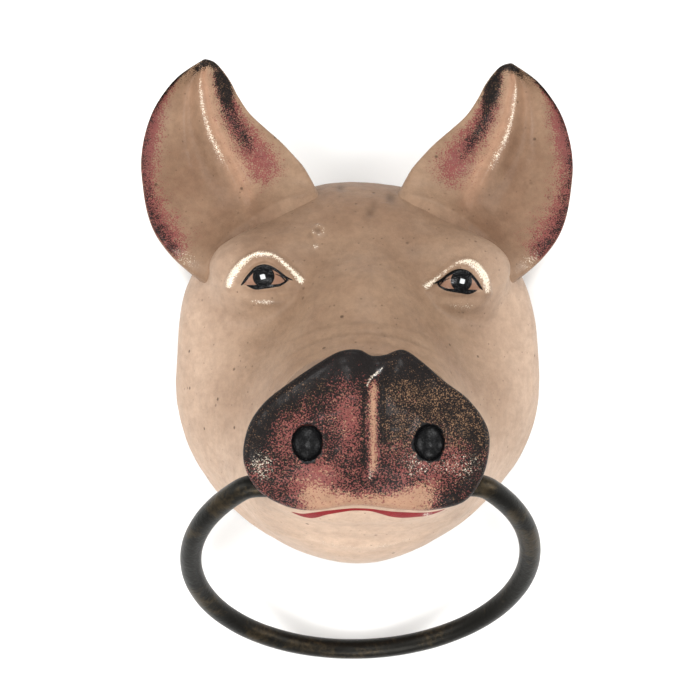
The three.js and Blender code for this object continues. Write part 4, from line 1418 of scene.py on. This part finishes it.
def shank_rows(radius, first, last):
    """A shank's profile, with enough rows to carry its thread, and a short lead."""
    rows = np.arange(first, last - 0.8, THREAD["pitch"] / THREAD["steps"])
    return [*((radius, height) for height in rows), (radius - 0.7, last), (0, last)]


def slotted(screw, start, heading, head):
    """Cuts the driver's slot across a screw's head."""
    heading_v = Vector(heading)
    side = np.array(heading_v.orthogonal().normalized())
    axes = [side, np.cross(heading, side), heading]
    tool = prism("slot", box_outline(head, 0.6), -1.2, 1.2, axes)
    tool.data.transform(Matrix.Translation(Vector(start) * MM))
    return cut(screw, [tool])


class PRESS_OT_fasteners(bpy.types.Operator):
    """Turns the screws and the washers that hold the plate, the ears and the snout"""
    bl_idname = "press.fasteners"
    bl_label = "Screws and washers"

    def execute(self, context):
        colours = context.scene.press_colours
        material = steel_material(colours)
        for node in [*BASE_SCREWS, *EAR_SCREWS, *SNOUT_SCREWS]:
            start, heading, long = screw_line(node)
            head, neck, shank = screw_kind(node)
            if node in BASE_SCREWS:
                profile = [(0, 0), (head / 2 - 0.35, 0), (head / 2 - 0.05, 0.12),
                           (head / 2 - 0.1, 0.4), (shank / 2 + 0.05, neck),
                           *shank_rows(shank / 2, neck + 0.3, long)]
            else:
                dome = [(head / 2 * math.sin(a), 0.9 * (1 - math.cos(a)))
                        for a in np.linspace(0, math.pi / 2, 8)]
                profile = [*dome, (head / 2, neck - 0.15), (head / 2 - 0.15, neck),
                           (shank / 2, neck + 0.05), *shank_rows(shank / 2, neck + 0.3, long)]
            screw = lathe(f"{node}_turned", profile, start, heading, 36, threaded(neck + 1.2))
            slotted(screw, start, heading, head)
            finish_piece(screw, "head", [node], material, sharp=30)
        for node in WASHERS:
            low, high = node_box(node)
            middle = (low + high) / 2
            outer, hole, thick = (high[0] - low[0]) / 2, 2.8, high[2] - low[2]
            profile = [(0, 0), (outer - 0.25, 0), (outer, 0.2), (outer, thick - 0.2),
                       (outer - 0.25, thick), (0, thick)]
            washer = lathe(f"{node}_cut", profile, (middle[0], middle[1], low[2]), UP)
            bore = [(0, -1), (hole, -1), (hole, thick + 1), (0, thick + 1)]
            cut(washer, [lathe("bore", bore, (middle[0], middle[1], low[2]), UP)])
            finish_piece(washer, "head", [node], material, sharp=30)
        return {"FINISHED"}


def steel_material(colours):
    """Satin steel with fine turning marks and a little brown in its corners."""
    material, tree, shader = new_material("Screw steel", {"Metallic": 0.95})
    fine, broad = cloud(tree, 1400.0, 4.0, 0.7), cloud(tree, 260.0, 3.0)
    age = group(tree, "Paint age", specks=1.0)
    stain = maths(tree, "MULTIPLY", stepped(tree, broad, 0.5, 0.75), 0.45)
    dark = maths(tree, "MAXIMUM", stain, age.outputs["Specks"])
    shade = mixed(tree, dark, colours.steel, colours.dirt_and_shade)
    tree.links.new(shade, shader.inputs["Base Color"])
    rough = maths(tree, "MULTIPLY_ADD", fine, 0.2, 0.28)
    tree.links.new(rough, shader.inputs["Roughness"])
    bumped(tree, shader, fine, 0.25, 0.0002)
    return material


# ---------------------------------------------------------------- stage

CAMERA_PLACE = (-0.0210, -0.0228, 0.4746)
CAMERA_AIM = (0.0400, 0.0698, -0.9968)
CAMERA_RIGHT = (0.9992, 0.0, 0.0401)
CAMERA_LENS = 56.57
# Name, place, size and power of each soft light; all are aimed at the snout.
LIGHTS = (
    ("key_light", (-0.15, -0.75, 0.85), 0.7, 9.0),
    ("left_light", (-0.85, 0.15, 0.6), 0.6, 5.2),
    ("right_light", (0.85, 0.10, 0.6), 0.6, 5.2),
    ("back_light", (0.1, 0.85, 0.7), 0.5, 4.0),
    ("front_light", (-0.06, 0.10, 0.95), 0.16, 2.6),
)
AIM = Vector((0, -0.02, 0.05))


class PRESS_OT_stage(bpy.types.Operator):
    """Sets the pale ground, the soft lights and the camera"""
    bl_idname = "press.stage"
    bl_label = "Stage"

    def execute(self, context):
        scene, colours = context.scene, context.scene.press_colours
        ground = prism("ground", box_outline(6000, 6000), -12, -0.02, np.eye(3))
        material, tree, shader = new_material("Pale ground", {"Roughness": 0.85})
        shade = mixed(tree, cloud(tree, 8.0), colours.ground, (0.93, 0.93, 0.92))
        tree.links.new(shade, shader.inputs["Base Color"])
        ground.data.materials.append(material)
        for name, place, size, power in LIGHTS:
            light = bpy.data.lights.new(name, "AREA")
            light.shape, light.size, light.energy = "DISK", size, power
            lamp = bpy.data.objects.new(name, light)
            lamp.location = place
            lamp.rotation_euler = (AIM - Vector(place)).to_track_quat("-Z", "Y").to_euler()
            scene.collection.objects.link(lamp)
        world = bpy.data.worlds.new("Studio")
        world.use_nodes = True
        background = world.node_tree.nodes["Background"]
        background.inputs["Color"].default_value = (1, 1, 1, 1)
        background.inputs["Strength"].default_value = 0.4
        scene.world = world
        scene.view_settings.view_transform = "Standard"
        camera = bpy.data.objects.new("camera", bpy.data.cameras.new("camera"))
        camera.data.lens = CAMERA_LENS
        camera.data.sensor_width = 36
        camera.data.clip_start = 0.01
        aim, right = Vector(CAMERA_AIM).normalized(), Vector(CAMERA_RIGHT).normalized()
        turn = Matrix((right, right.cross(aim), -aim)).transposed().to_4x4()
        camera.matrix_world = Matrix.Translation(CAMERA_PLACE) @ turn
        scene.collection.objects.link(camera)
        scene.camera = camera
        return {"FINISHED"}


# ---------------------------------------------------------------- add-on

OPERATORS = (PRESS_OT_stage, PRESS_OT_base_plate, PRESS_OT_head_shell, PRESS_OT_ears,
             PRESS_OT_snout, PRESS_OT_ring, PRESS_OT_fasteners)


class PRESS_PT_panel(bpy.types.Panel):
    """Lists the steps that build the press"""
    bl_idname = "PRESS_PT_panel"
    bl_label = "Bacon Press"
    bl_space_type = "VIEW_3D"
    bl_region_type = "UI"
    bl_category = "Bacon Press"

    def draw(self, context):
        for operator in OPERATORS:
            self.layout.operator(operator.bl_idname)
        for settings in (context.scene.press_sizes, context.scene.press_colours):
            for name in settings.__annotations__:
                self.layout.prop(settings, name)


CLASSES = (PressSizes, PressColours, *OPERATORS, PRESS_PT_panel)


def register():
    for cls in CLASSES:
        bpy.utils.register_class(cls)
    bpy.types.Scene.press_sizes = bpy.props.PointerProperty(type=PressSizes)
    bpy.types.Scene.press_colours = bpy.props.PointerProperty(type=PressColours)


def unregister():
    del bpy.types.Scene.press_colours
    del bpy.types.Scene.press_sizes
    for cls in reversed(CLASSES):
        bpy.utils.unregister_class(cls)


def main():
    register()
    bpy.ops.press.stage()
    bpy.ops.press.base_plate()
    bpy.ops.press.head_shell()
    bpy.ops.press.ears()
    bpy.ops.press.snout()
    bpy.ops.press.ring()
    bpy.ops.press.fasteners()
    bpy.context.view_layer.update()


if __name__ == "__main__":
    main()
